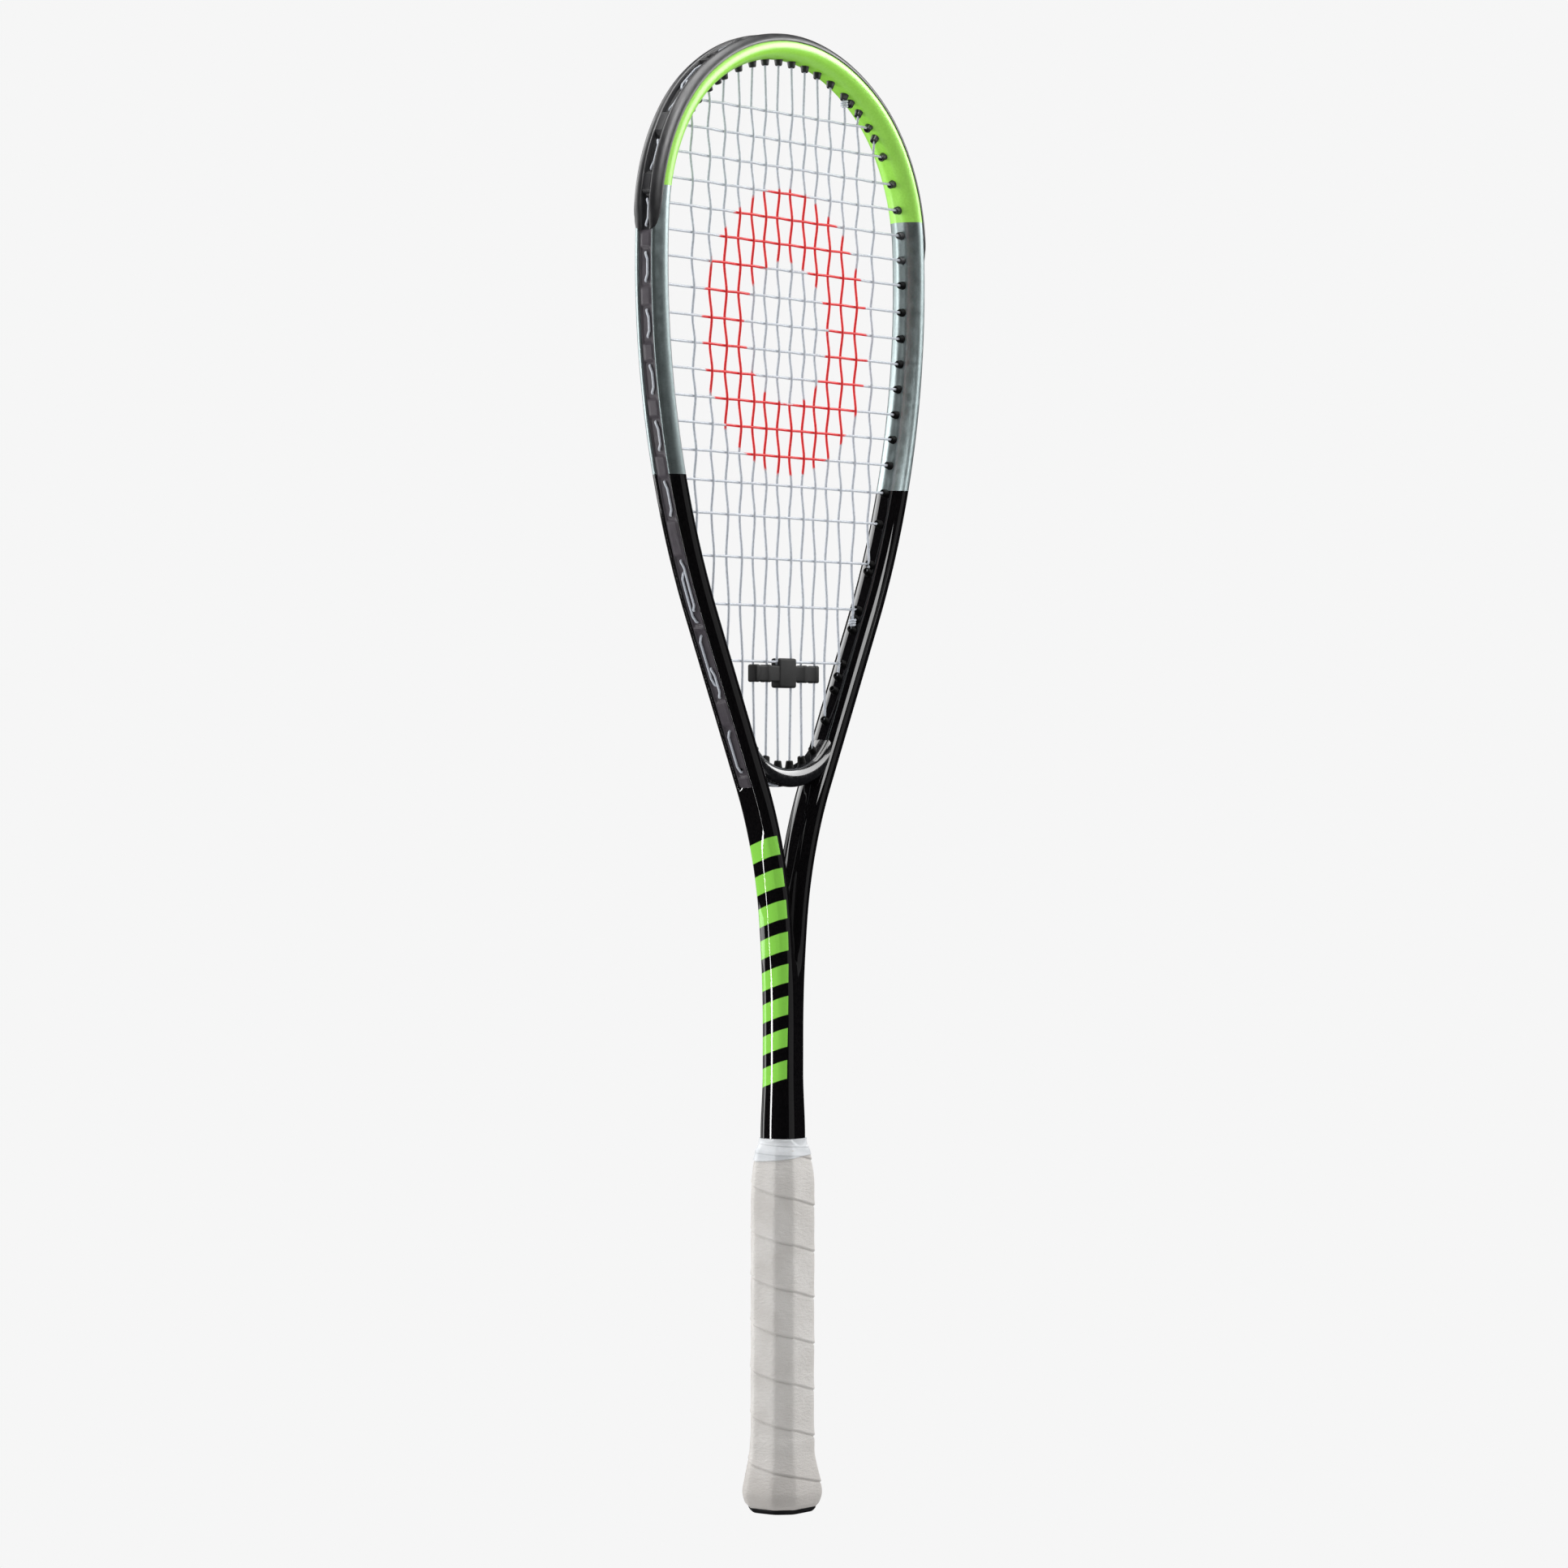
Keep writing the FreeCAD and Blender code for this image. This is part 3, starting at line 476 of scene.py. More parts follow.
def zone_paint(name, dark, light, sparkle, rough, **sockets):
    """One zone of the frame's paint under its clear coat: a soft drift in colour and fine flecks."""
    p = Paint(name, **sockets)
    drift, fleck = p.noise(900.0, 4.0), p.noise(9000.0, 2.0)
    colour = p.mix(p.step(drift, 0.35, 0.65), dark, light)
    bright = tuple(min(1.0, 1.7 * v) for v in light)
    colour = p.mix(p.step(fleck, 0.5, 0.75, 0.0, sparkle), colour, bright)
    p.bump(drift, 0.00004, 0.3)
    p.bump(fleck, 0.00001, 0.25)
    return p, colour, fleck, p.step(p.noise(260.0), out_low=rough, out_high=rough + 0.08)


def green_paint():
    p, colour, _, roughness = zone_paint(
        "frame_green_look", (0.285, 0.695, 0.052), (0.325, 0.745, 0.070), 0.1, 0.30,
        Specular_IOR_Level=0.15, Coat_Weight=1.0, Coat_Roughness=0.34, Coat_IOR=1.75)
    return p.done(colour, roughness)


def slate_paint():
    p, colour, _, roughness = zone_paint(
        "frame_slate_look", (0.330, 0.400, 0.405), (0.380, 0.450, 0.455), 0.35, 0.31,
        Metallic=0.92, Specular_IOR_Level=0.15, Coat_Weight=0.4, Coat_Roughness=0.20)
    return p.done(colour, roughness)


# The painted bars, in metres: the lowest and highest place, the step, and the rise towards the back.
BARS_LOW, BARS_HIGH, BAR_STEP, BAR_SLANT = 0.1985, 0.3125, 0.0148, 0.35
BAR_SHARE = 0.60                                 # the part of a step that is painted
BAR_EDGE = 0.0004
BAR_REACH = (-0.62, -0.28)                       # most that the normal points right, at the low and high bars


def black_paint():
    """Black, with plain slanted bars down the shaft's left side that get shorter towards the handle."""
    p, colour, fleck, roughness = zone_paint(
        "frame_black_look", (0.0022, 0.0020, 0.0024), (0.0040, 0.0036, 0.0040), 0.0, 0.30,
        Specular_IOR_Level=0.0, Coat_Weight=1.0, Coat_Roughness=0.03)
    normal_x = p.node("SeparateXYZ", {0: p.node("NewGeometry", {})["Normal"]})[0]
    slanted = p.math("MULTIPLY_ADD", p.y, BAR_SLANT, p.z)
    cycle = p.math("FRACT", p.product(p.math("SUBTRACT", slanted, BARS_LOW), 1 / BAR_STEP))
    mark = p.product(
        p.step(cycle, 0.02, 0.05), p.step(cycle, BAR_SHARE, BAR_SHARE + 0.03, 1.0, 0.0),
        p.step(slanted, BARS_LOW, BARS_LOW + BAR_EDGE),
        p.step(slanted, BARS_HIGH, BARS_HIGH + BAR_EDGE, 1.0, 0.0),
        p.math("LESS_THAN", normal_x, p.step(p.z, 0.198, 0.312, *BAR_REACH)),
        p.math("LESS_THAN", p.x, 0.0))
    bar = p.mix(p.step(fleck), (0.200, 0.560, 0.060), (0.260, 0.640, 0.090))
    return p.done(p.mix(mark, colour, bar), roughness)


def bridge_paint():
    p = Paint("bridge_paint_look", Coat_Weight=1.0, Coat_Roughness=0.05, Specular_IOR_Level=0.3)
    drift = p.noise(700.0, 4.0)
    p.bump(drift, 0.00004, 0.3)
    colour = p.mix(p.step(drift), (0.0035, 0.0037, 0.0045), (0.0065, 0.0068, 0.0078))
    return p.done(colour, p.step(p.noise(300.0), out_low=0.16, out_high=0.28))


def moulded_plastic(name, dark, light, low, high, grain=0.00003, specular=0.5):
    """Moulded plastic: fine grain, a soft drift in colour and light scuffs."""
    p = Paint(name, Specular_IOR_Level=specular)
    drift, grit = p.noise(120.0, 4.0), p.noise(5200.0, 3.0)
    scuff = p.step(p.noise(420.0, 6.0, (1.0, 1.0, 0.18), 0.7), 0.62, 0.80)
    colour = p.mix(p.step(drift), dark, light)
    colour = p.mix(p.product(scuff, 0.25), colour, tuple(min(1.0, v * 2.2 + 0.01) for v in light))
    p.bump(grit, grain)
    return p.done(colour, p.math("ADD", p.step(drift, 0.3, 0.7, low, high), p.product(scuff, 0.08)))


RING_X, RING_Z, RING_HALF_X, RING_HALF_Z = 0.001, 0.548, 0.0640, 0.0665      # metres
RING_INNER, RING_EDGE = 0.50, 0.01               # as parts of the ring's outer size


def string_look(name, tone):
    """Silvery multifilament string; a plain red oval ring is printed on the bed."""
    p = Paint(name, Specular_IOR_Level=0.45)
    strands = p.noise(2600.0, 3.0, (1.0, 1.0, 0.3))
    strands_x = p.noise(2600.0, 3.0, (0.3, 1.0, 1.0))
    silver = p.mix(p.step(p.product(strands, strands_x), 0.15, 0.36), tuple(0.78 * v for v in tone), tone)
    across = p.math("DIVIDE", p.math("SUBTRACT", p.x, RING_X), RING_HALF_X)
    along = p.math("DIVIDE", p.math("SUBTRACT", p.z, RING_Z), RING_HALF_Z)
    radius = p.math("SQRT", p.math("ADD", p.product(across, across), p.product(along, along)))
    radius = p.math("ADD", radius, p.product(p.math("SUBTRACT", p.noise(500.0), 0.5), 0.05))
    ring = p.product(p.step(radius, RING_INNER - RING_EDGE, RING_INNER + RING_EDGE),
                     p.step(radius, 1.0 - RING_EDGE, 1.0 + RING_EDGE, 1.0, 0.0))
    ink = p.mix(p.step(p.noise(1500.0), 0.35, 0.65), (0.56, 0.010, 0.013), (0.72, 0.022, 0.026))
    cover = p.product(ring, p.step(p.noise(2400.0, 4.0), 0.26, 0.36, 0.75, 1.0))
    p.bump(strands, 0.00004)
    p.bump(strands_x, 0.00004)
    return p.done(p.mix(cover, silver, ink), p.step(strands, 0.3, 0.7, 0.24, 0.40))


def grip_look():
    """Off-white cushioned synthetic leather: fine pores and stretch creases, with painted shade that darkens
    it towards the butt.
    """
    p = Paint("grip_cushion_look", Sheen_Weight=0.12, Sheen_Roughness=0.5, Specular_IOR_Level=0.4)
    drift, pores, fine = p.noise(60.0, 4.0), p.cells(1500.0), p.noise(1900.0, 4.0)
    crease = p.noise(330.0, 5.0, (1.0, 1.0, 2.6), 0.62)
    colour = p.mix(p.step(drift), (0.500, 0.480, 0.458), (0.565, 0.548, 0.528))
    colour = p.mix(p.step(crease, 0.56, 0.74, 0.0, 0.35), colour, (0.52, 0.505, 0.485))
    colour = p.mix(p.step(pores, 0.0, 0.28, 0.30, 0.0), colour, (0.50, 0.485, 0.465))
    p.bump(crease, 0.00070, 0.75)
    p.bump(fine, 0.00010)
    p.bump(pores, 0.00008)
    # Painted shade: the colour darkens over the lowest 40 mm, towards the butt.
    painted_butt_shade = p.step(p.z, 0.006, 0.040, 0.55, 0.0)
    colour = p.mix(painted_butt_shade, colour, (0.36, 0.335, 0.315))
    return p.done(colour, p.step(fine, 0.3, 0.7, 0.50, 0.68))


def tape_look():
    """Thin elastic tape, bluish white, with faint stretch lines whose darker colour is painted shade in their
    creases.
    """
    p = Paint("finishing_tape_look", Specular_IOR_Level=0.3)
    drift = p.noise(140.0, 4.0)
    lines = p.noise(900.0, 4.0, (1.0, 1.0, 6.0), 0.6)
    colour = p.mix(p.step(drift), (0.520, 0.540, 0.560), (0.590, 0.605, 0.620))
    # Painted shade: the stretch lines are coloured darker grey, as shade in their creases.
    colour = p.mix(p.step(lines, 0.55, 0.75, 0.0, 0.30), colour, (0.41, 0.44, 0.48))
    p.bump(lines, 0.00012, 0.6)
    return p.done(colour, p.step(drift, 0.3, 0.7, 0.42, 0.56))


def steel_look():
    p = Paint("staple_steel_look", Metallic=1.0)
    brushed = p.noise(1500.0, 4.0, (0.2, 1.0, 1.0))
    p.bump(brushed, 0.00003, 0.4)
    return p.done(p.mix(brushed, (0.45, 0.45, 0.46), (0.62, 0.62, 0.63)),
                  p.step(brushed, 0.3, 0.7, 0.22, 0.40))


def foam_look():
    p = Paint("handle_foam_look")
    cells = p.cells(900.0)
    p.bump(cells, 0.00020, 0.6)
    return p.done(p.mix(p.step(cells, 0.0, 0.6), (0.10, 0.10, 0.11), (0.17, 0.17, 0.18)),
                  p.step(cells, 0.0, 0.6, 0.75, 0.90))


def adhesive_look():
    p = Paint("adhesive_film_look")
    drift = p.noise(400.0, 4.0)
    p.bump(drift, 0.00005)
    return p.done(p.mix(drift, (0.62, 0.60, 0.50), (0.74, 0.72, 0.63)), p.step(drift, 0.3, 0.7, 0.30, 0.50))


BLACK_PAINT, SLATE_PAINT, GREEN_PAINT = black_paint(), slate_paint(), green_paint()
BRIDGE_PAINT = bridge_paint()
BUMPER_PLASTIC = moulded_plastic(
    "bumper_plastic_look", (0.010, 0.010, 0.012), (0.016, 0.016, 0.018), 0.36, 0.46, specular=0.9)
GROMMET_PLASTIC = moulded_plastic(
    "grommet_plastic_look", (0.052, 0.046, 0.054), (0.070, 0.062, 0.072), 0.30, 0.42)
BARREL_PLASTIC = moulded_plastic(
    "barrel_plastic_look", (0.002, 0.002, 0.002), (0.004, 0.004, 0.004), 0.45, 0.55, specular=0.1)
CAP_PLASTIC = moulded_plastic(
    "cap_plastic_look", (0.008, 0.008, 0.009), (0.014, 0.014, 0.015), 0.30, 0.42)
BADGE_PLASTIC = moulded_plastic(
    "badge_plastic_look", (0.030, 0.030, 0.032), (0.045, 0.045, 0.048), 0.20, 0.30)
RUBBER = moulded_plastic(
    "dampener_rubber_look", (0.006, 0.006, 0.006), (0.011, 0.011, 0.011), 0.55, 0.70, 0.00006, 0.35)
# Painted light: the cross string's tone is set lighter than the main's, though both are the same silvery
# string.
MAIN_LOOK = string_look("main_string_look", (0.50, 0.53, 0.58))
CROSS_LOOK = string_look("cross_string_look", (0.54, 0.57, 0.62))


# ---- frame tube ----
TUBE_HALF = [(TUBE_OUT, 4.6), (4.2, 6.0), (0.8, 8.3), (-2.6, 7.7), (-TUBE_IN, 3.4)]
MORPH_LOW, MORPH_HIGH = 243.0, 270.0             # the arm's section turns into the shaft's
SWELL_LOW, SWELL_HIGH, SWELL = 174.0, 204.0, 1.1
TUBE_BOTTOM, CROWN, INNER_BULGE = 8.0, 0.75, 0.32
CROWN_FROM, CROWN_FULL = CHANNEL_END_Z - 1.0, CHANNEL_END_Z - 64.0
CHANNEL_RAMP = CHANNEL_END_Z + 1.5, CHANNEL_END_Z + 5.0
SLATE_FROM_Z, GREEN_FROM_Z = 0.47785, 0.60705    # metres


def tube_loop(opening, crown):
    """The tube's section as (outward, depth). The channel is open at 1; at 0 the outer side is crowned."""
    floor, half = CHANNEL_FLOOR, CHANNEL_HALF
    skin = catmull(TUBE_HALF + [(-TUBE_IN - INNER_BULGE, 0.0)] + mirrored(TUBE_HALF), 5)
    lip = [(4.98, 4.2), (4.93, 3.88), (4.72, half), (floor + 0.25, half), (floor, half - 0.25), (floor, 1.7),
           (floor, 0.0)]
    lip = [(o * opening + (TUBE_OUT + crown * (1.0 - (d / TUBE_HALF[0][1]) ** 2)) * (1.0 - opening), d)
           for o, d in lip]
    return np.vstack([skin, [(o, -d) for o, d in lip], lip[-2::-1]])


def shaft_reach(direction, scale):
    """Distance from (ARM_END_X, 0) to the right half of the shaft's outline, in one direction."""
    corner = SHAFT_CORNER * scale

    def inside(r):
        x, y = ARM_END_X + r * direction[0], abs(r * direction[1])
        over = max(abs(x) - (SHAFT_X * scale - corner), 0.0), max(y - (SHAFT_Y * scale - corner), 0.0)
        return x >= -1.5 and math.hypot(*over) <= corner

    return halved(0.0, 20.0, inside)[0]


def shaft_loop(scale):
    loop = tube_loop(0.0, CROWN)
    turned = loop / np.linalg.norm(loop, axis=1)[:, None]
    return np.array([d * shaft_reach(d, scale) for d in turned])


def frame_rings():
    plain, swollen = shaft_loop(1.0), shaft_loop(SWELL)
    end_z = outline_at(OUTLINE_LENGTH)[0][1]
    shaft_stops = np.linspace(OUTLINE_LENGTH, OUTLINE_LENGTH + end_z - TUBE_BOTTOM, 90)
    rings = []
    for s in [*np.arange(0.0, OUTLINE_LENGTH, 2.0), *shaft_stops]:
        middle, normal = outline_at(s)
        z = middle[1]
        loop = tube_loop(ramp(*CHANNEL_RAMP, z), CROWN * (1.0 - ramp(CROWN_FULL, CROWN_FROM, z)))
        into_shaft = 1.0 - ramp(MORPH_LOW, MORPH_HIGH, z)
        if into_shaft > 0:
            swell = 1.0 - ramp(SWELL_LOW, SWELL_HIGH, z)
            loop = loop + (plain + (swollen - plain) * swell - loop) * into_shaft
        rings.append([(middle[0] + normal[0] * o, d, z + normal[1] * o) for o, d in loop])
    return rings


def paint_zones(mesh, *zones):
    """Cuts the mesh at each zone's lower edge, and gives the faces above it the zone's paint."""
    bm = bmesh.new()
    bm.from_mesh(mesh)
    for index, (paint, from_z) in enumerate(zones, 1):
        mesh.materials.append(paint)
        bmesh.ops.bisect_plane(bm, geom=everything(bm), dist=1e-7, plane_co=(0, 0, from_z),
                               plane_no=(0, 0, 1))
        for face in bm.faces:
            if face.calc_center_median().z > from_z:
                face.material_index = index
    bm.to_mesh(mesh)
    bm.free()


frame_mesh = mirrored_mesh(*grid(frame_rings(), cap_start=False), sharp=55.0)
add_skin("frame_tube", frame_mesh, BLACK_PAINT)
paint_zones(frame_mesh, (SLATE_PAINT, SLATE_FROM_Z), (GREEN_PAINT, GREEN_FROM_Z))


# ---- throat bridge ----
BLEND_FROM, BLEND_TOP_Z = 24.0, 390.0            # degrees along the bridge, and the height on the arm
# Half sections as (outward from the inner side, depth), at the middle and where the bridge meets the arm.
BRIDGE_MIDDLE = [(8.9, 4.15), (8.1, 5.6), (6.6, 6.35), (5.0, 6.5), (3.2, 6.2), (1.5, 5.3), (0.45, 3.9),
                 (0.0, 1.9)]
BRIDGE_ROOT = [(6.4, 4.15), (6.0, 6.2), (5.2, 7.5), (4.2, 7.9), (3.0, 7.5), (1.8, 6.3), (0.9, 4.6),
               (0.35, 2.4)]
BRIDGE_FLOOR, BRIDGE_CHANNEL_DEPTH = BRIDGE_MIDDLE[0][0], 1.7


def bridge_path():
    """The bridge's inner side, right half: a circle that eases into the arm. Point, heading, progress."""
    places = [(BRIDGE_IN_R * math.sin(a), BRIDGE_CENTRE_Z - BRIDGE_IN_R * math.cos(a), a, 0.0)
              for a in np.radians(np.linspace(0.0, BLEND_FROM, 26))]
    middle, normal = outline_at(s_at_height(BLEND_TOP_Z))
    end = middle - normal * TUBE_IN
    rise = np.array([-normal[1], normal[0]])
    start, start_a = np.array(places[-1][:2]), places[-1][2]
    run = np.linalg.norm(end - start) / 3
    b1, b2 = start + run * np.array([math.cos(start_a), math.sin(start_a)]), end - rise * run
    curve = [(1 - t) ** 3 * start + 3 * t * (1 - t) ** 2 * b1 + 3 * t * t * (1 - t) * b2 + t ** 3 * end
             for t in np.linspace(0.0, 1.0, 44)]
    for k in range(1, len(curve)):
        ahead = curve[min(k + 1, len(curve) - 1)] - curve[k - 1]
        places.append((*curve[k], math.atan2(ahead[1], ahead[0]), k / (len(curve) - 1)))
    return places


def bridge_rings():
    right = []
    for x, z, heading, progress in bridge_path():
        angle = math.degrees(heading) if progress == 0 else 90.0
        opening = 1.0 - ramp(BRIDGE_CHANNEL_ANGLE - 2.0, BRIDGE_CHANNEL_ANGLE + 0.5, angle)
        floor = BRIDGE_FLOOR - BRIDGE_CHANNEL_DEPTH * opening
        root = ramp(0.0, 0.85, progress)
        half = [(m[0] + (r[0] - m[0]) * root, m[1] + (r[1] - m[1]) * root)
                for m, r in zip(BRIDGE_MIDDLE, BRIDGE_ROOT)]
        outer = half[0][0]
        lip = [(outer - 0.05, 3.75), (outer - 0.3, 3.4), (floor + 0.2, 3.4), (floor, 3.15), (floor, 1.6)]
        lip = [(min(max(q, floor), outer) if progress == 0 else outer, d) for q, d in lip]
        loop = np.vstack([catmull(half + [(half[-1][0] - 0.1, 0.0)] + mirrored(half), 4),
                          [(q, -d) for q, d in lip] + [(lip[-1][0], 0.0)] + lip[::-1]])
        right.append([(x + q * math.sin(heading), d, z - q * math.cos(heading)) for q, d in loop])
    return [[(-x, y, z) for x, y, z in ring] for ring in right[:0:-1]] + right


add_skin("throat_bridge", mesh_of(*grid(bridge_rings()), 55.0), BRIDGE_PAINT)


# ---- grommets and bumper ----
BARREL_BASE = STRING_R + 0.05 + STRIP_THICK / 2
GROOVE_FLOOR = 3.85                              # of the bumper, outward from the tube's centreline


def add_barrel(bundle, end, side):
    """A barrel from the strip to its mouth inside the hoop, with a collar, a round lip and an open bore."""
    mouth, turn = deep(end["mouth"], 0.0, side), deep(end["turn"], 0.0, side)
    axis = deep(end["axis"], 0.0, side)
    length = np.linalg.norm(turn - mouth) - BARREL_BASE
    profile = [(0.9, 0.3), (0.8, BARREL_BORE_R), (-1.4, BARREL_BORE_R + 0.02), (-1.72, 1.02), (-1.8, 1.25),
               (-1.7, 1.50), (-1.3, 1.68), (-0.4, BARREL_R + 0.1), (0.9, BARREL_R + 0.3),
               (1.5, BARREL_R + 0.5), (length * 0.6, BARREL_R), (length, BARREL_R)]
    bundle.add(*lathe(mouth, axis, profile))


def strip_rings(start, stop, side, shape_at, spacing):
    """Rings along the hoop between two arc lengths; shape_at gives the section at an arc length."""
    rings = []
    for s in np.linspace(start, stop, int(abs(stop - start) / spacing) + 1):
        middle, normal = outline_at(abs(s))
        turned = side if s >= 0 else -side
        rings.append([(turned * (middle[0] + normal[0] * o), d, middle[1] + normal[1] * o)
                      for o, d in shape_at(s)])
    return rings


def side_strip_loop(s, ranges, start, stop):
    """The side strip's section: a flat band with raised pads where no string or hole needs room."""
    edge = min(1.0, max(0.0, min(s - start, stop - s) / 1.5))
    pad = 3.82 + 0.72 * pad_height(s, ranges) * edge
    half = [(3.02, 3.3), (3.5, 3.52), (4.15, 3.5), (4.42, 3.3), (4.42, 2.95),
            (max(pad, 4.2) * 0.5 + 2.1, 2.72), (pad, 2.5), (pad, 1.4), (pad + 0.02 * edge, 0.5)]
    return half + mirrored(half)


SKIN_AT = [0.0, 0.9, 2.46, 4.71]                 # distances along the tube's skin from the channel's lip
SKIN_OUT, SKIN_DEPTH = [4.95, 4.9, 4.25, 2.45], [3.7, 4.6, 6.05, 7.40]
SKIN_LEAN = [0.0, 18.0, 42.0, 56.0]              # the skin's normal there, in degrees from outward


def on_skin(along, height):
    """A point at a distance along the tube's outer bevel and a height above it."""
    lean = math.radians(np.interp(along, SKIN_AT, SKIN_LEAN))
    return (np.interp(along, SKIN_AT, SKIN_OUT) + height * math.cos(lean),
            np.interp(along, SKIN_AT, SKIN_DEPTH) + height * math.sin(lean))


def bumper_loop(s, ranges, end_s):
    """The guard's section: a grooved middle and two shoulders that wrap over the tube's bevels."""
    pad = pad_height(abs(s), ranges)
    left = min(1.0, (end_s - abs(s)) / 15.0)
    reach = math.sqrt(max(0.0, 1.0 - (1.0 - left) ** 2))
    thick = 0.25 + 0.75 * ramp(0.0, 0.7, left)
    rise = 4.95 + 1.25 * thick
    floor = GROOVE_FLOOR + (rise - 0.5 - GROOVE_FLOOR) * pad
    half = [(floor, 0.0), (floor, 1.5), (floor + 0.06, 2.1), (max(floor, rise - 0.55), 2.32),
            (rise - 0.1, 2.62), (rise, 3.1)]
    half += [on_skin(along * reach, height * thick) for along, height in (
        (0.0, 1.26), (0.9, 1.25), (1.9, 1.12), (2.9, 0.98), (3.8, 0.85), (4.4, 0.70), (4.66, 0.42))]
    half += [on_skin(along * reach, -0.25) for along in (4.60, 3.0, 1.5)]
    half += [(4.6, 3.55), (3.05, 3.4), (3.02, 0.0)]
    return half + mirrored(half[1:-1])


def add_barrels(bundle, ends, side):
    for end in ends:
        add_barrel(bundle, end, side)


def make_guards():
    end_s = s_at_height(BUMPER_END_Z)
    strip_stop = s_at_height(CHANNEL_END_Z) - 1.0
    ranges = {1: loops_on(1), -1: loops_on(-1)}
    guard = Bundle()
    guard.add(*grid(strip_rings(-end_s, end_s, 1,
                                lambda s: bumper_loop(s, ranges[1 if s >= 0 else -1], end_s), 1.0)))
    for side in (1, -1):
        add_barrels(guard, [end for end in OUTLINE_ENDS if end["s"] <= end_s], side)
    add_skin("bumper_guard", guard.mesh(50.0), BUMPER_PLASTIC)
    for side, name in ((1, "right"), (-1, "left")):
        band, barrels = Bundle(), Bundle()
        band.add(*grid(strip_rings(end_s - 2.0, strip_stop, side,
                                   lambda s: side_strip_loop(s, ranges[side], end_s, strip_stop), 0.8)))
        add_barrels(barrels, [end for end in OUTLINE_ENDS if end["s"] > end_s], side)
        add_skin("grommet_strip_" + name, band.mesh(50.0), GROMMET_PLASTIC)
        add_object("grommet_barrels_" + name, barrels.mesh(50.0), BARREL_PLASTIC)


def make_bridge_strip():
    piece, rings = Bundle(), []
    half = [(49.15, 3.0), (49.4, 3.2), (50.1, 3.2), (50.45, 3.05), (50.4, 2.6), (50.05, 2.3), (50.0, 0.8)]
    for angle in np.radians(np.linspace(-22.6, 22.6, 40)):
        rings.append([(r * math.sin(angle), d, BRIDGE_CENTRE_Z - r * math.cos(angle))
                      for r, d in half + mirrored(half)])
    piece.add(*grid(rings))
    for side in (1, -1):
        add_barrels(piece, BOTTOMS[:BRIDGE_MAINS], side)
    add_skin("grommet_strip_bridge", piece.mesh(50.0), BARREL_PLASTIC)


make_guards()
make_bridge_strip()


# ---- strings ----
def weave(side, i, j):
    """How far main i stands out of the middle plane where it meets cross j."""
    order = i if side > 0 else -1 - i
    return WEAVE if (order + j) % 2 else -WEAVE


def channel_run(first, last, lane, side, line=STRING_LINE, place_at=outline_at):
    """Points of a string's loop along the outer side, between two holes."""
    way = 1 if last["s"] > first["s"] else -1
    start = first["s"] + way * min(LANE_START, abs(last["s"] - first["s"]) / 3)
    stop = last["s"] - (start - first["s"])
    points = []
    for s in np.linspace(start, stop, max(1, round(abs(stop - start) / LOOP_STEP)) + 1):
        middle, normal = place_at(s)
        points.append(deep(middle + normal * line, lane, side))
    return points


def woven(knots):
    """A strand through its crossings, easing from one side to the other as a tight string does."""
    line = []
    for a, b in zip(knots, knots[1:]):
        for t in np.linspace(0, 1, 7)[:-1]:
            ease = t + (ramp(0.0, 1.0, t) - t) * 0.75
            line.append([p + (q - p) * part for p, q, part in zip(a, b, (t, ease, t))])
    return line + [knots[-1]]


def main_knots(side, i):
    low, high = BOTTOMS[i]["mouth"][1] + 2, TOPS[i]["mouth"][1] - 2
    inner = [(side * main_x(i, z), weave(side, i, j), z) for j, z in reversed(list(enumerate(CROSS_Z)))
             if low < z < high]
    return [deep(BOTTOMS[i]["mouth"], 0, side)] + inner + [deep(TOPS[i]["mouth"], 0, side)]


def cross_knots(j):
    z = CROSS_Z[j]
    order = [(-1, i) for i in reversed(range(7))] + [(1, i) for i in range(7)]
    inner = [(side * main_x(i, z), -weave(side, i, j), z) for side, i in order
             if BOTTOMS[i]["mouth"][1] + 2 < z < TOPS[i]["mouth"][1] - 2]
    return [deep(SIDES[j]["mouth"], 0, -1)] + inner + [deep(SIDES[j]["mouth"], 0, 1)]


def joined_runs(runs):
    """Strands and channel runs as one line with round turns between them."""
    corners, line = [], []
    for kind, points in runs:
        if kind == "bed":
            corners.append(points[0])
            line += list(rounded_line(corners, LOOP_BEND_R)) if len(corners) > 1 else [points[0]]
            line += [np.asarray(p, float) for p in points[1:-1]]
            corners = [points[-1]]
        else:
            corners += points
    if len(corners) > 1:
        line += list(rounded_line(corners, LOOP_BEND_R))
    line = np.array(line)
    keep = np.concatenate([[True], np.linalg.norm(np.diff(line, axis=0), axis=1) > 0.02])
    return line[keep]


def main_half(side):
    """The main string's runs on one side, from the middle outwards to its knot."""
    runs, upward = [], False
    for i in range(7):
        low, high = deep(BOTTOMS[i]["turn"], 0, side), deep(TOPS[i]["turn"], 0, side)
        knots = woven(main_knots(side, i))
        runs += [("turn", [low]), ("bed", knots), ("turn", [high])] if upward else [
            ("turn", [high]), ("bed", knots[::-1]), ("turn", [low])]
        if i < 6:
            ends = TOPS if upward else BOTTOMS
            if not upward and i == 0:
                runs.append(("turn", channel_run(ends[0], ends[1], 0.0, side, BRIDGE_LINE, bridge_at)))
            else:
                runs.append(("turn", channel_run(ends[i], ends[i + 1], MAIN_LANE, side)))
        upward = not upward
    runs.append(("turn", channel_run(BOTTOMS[6], MAIN_TIE, MAIN_LANE, side)
                 + [deep(MAIN_TIE["turn"], 0, side), deep(MAIN_TIE["mouth"], 0, side)]))
    return runs


def backwards(runs):
    return [(kind, list(points)[::-1]) for kind, points in reversed(runs)]


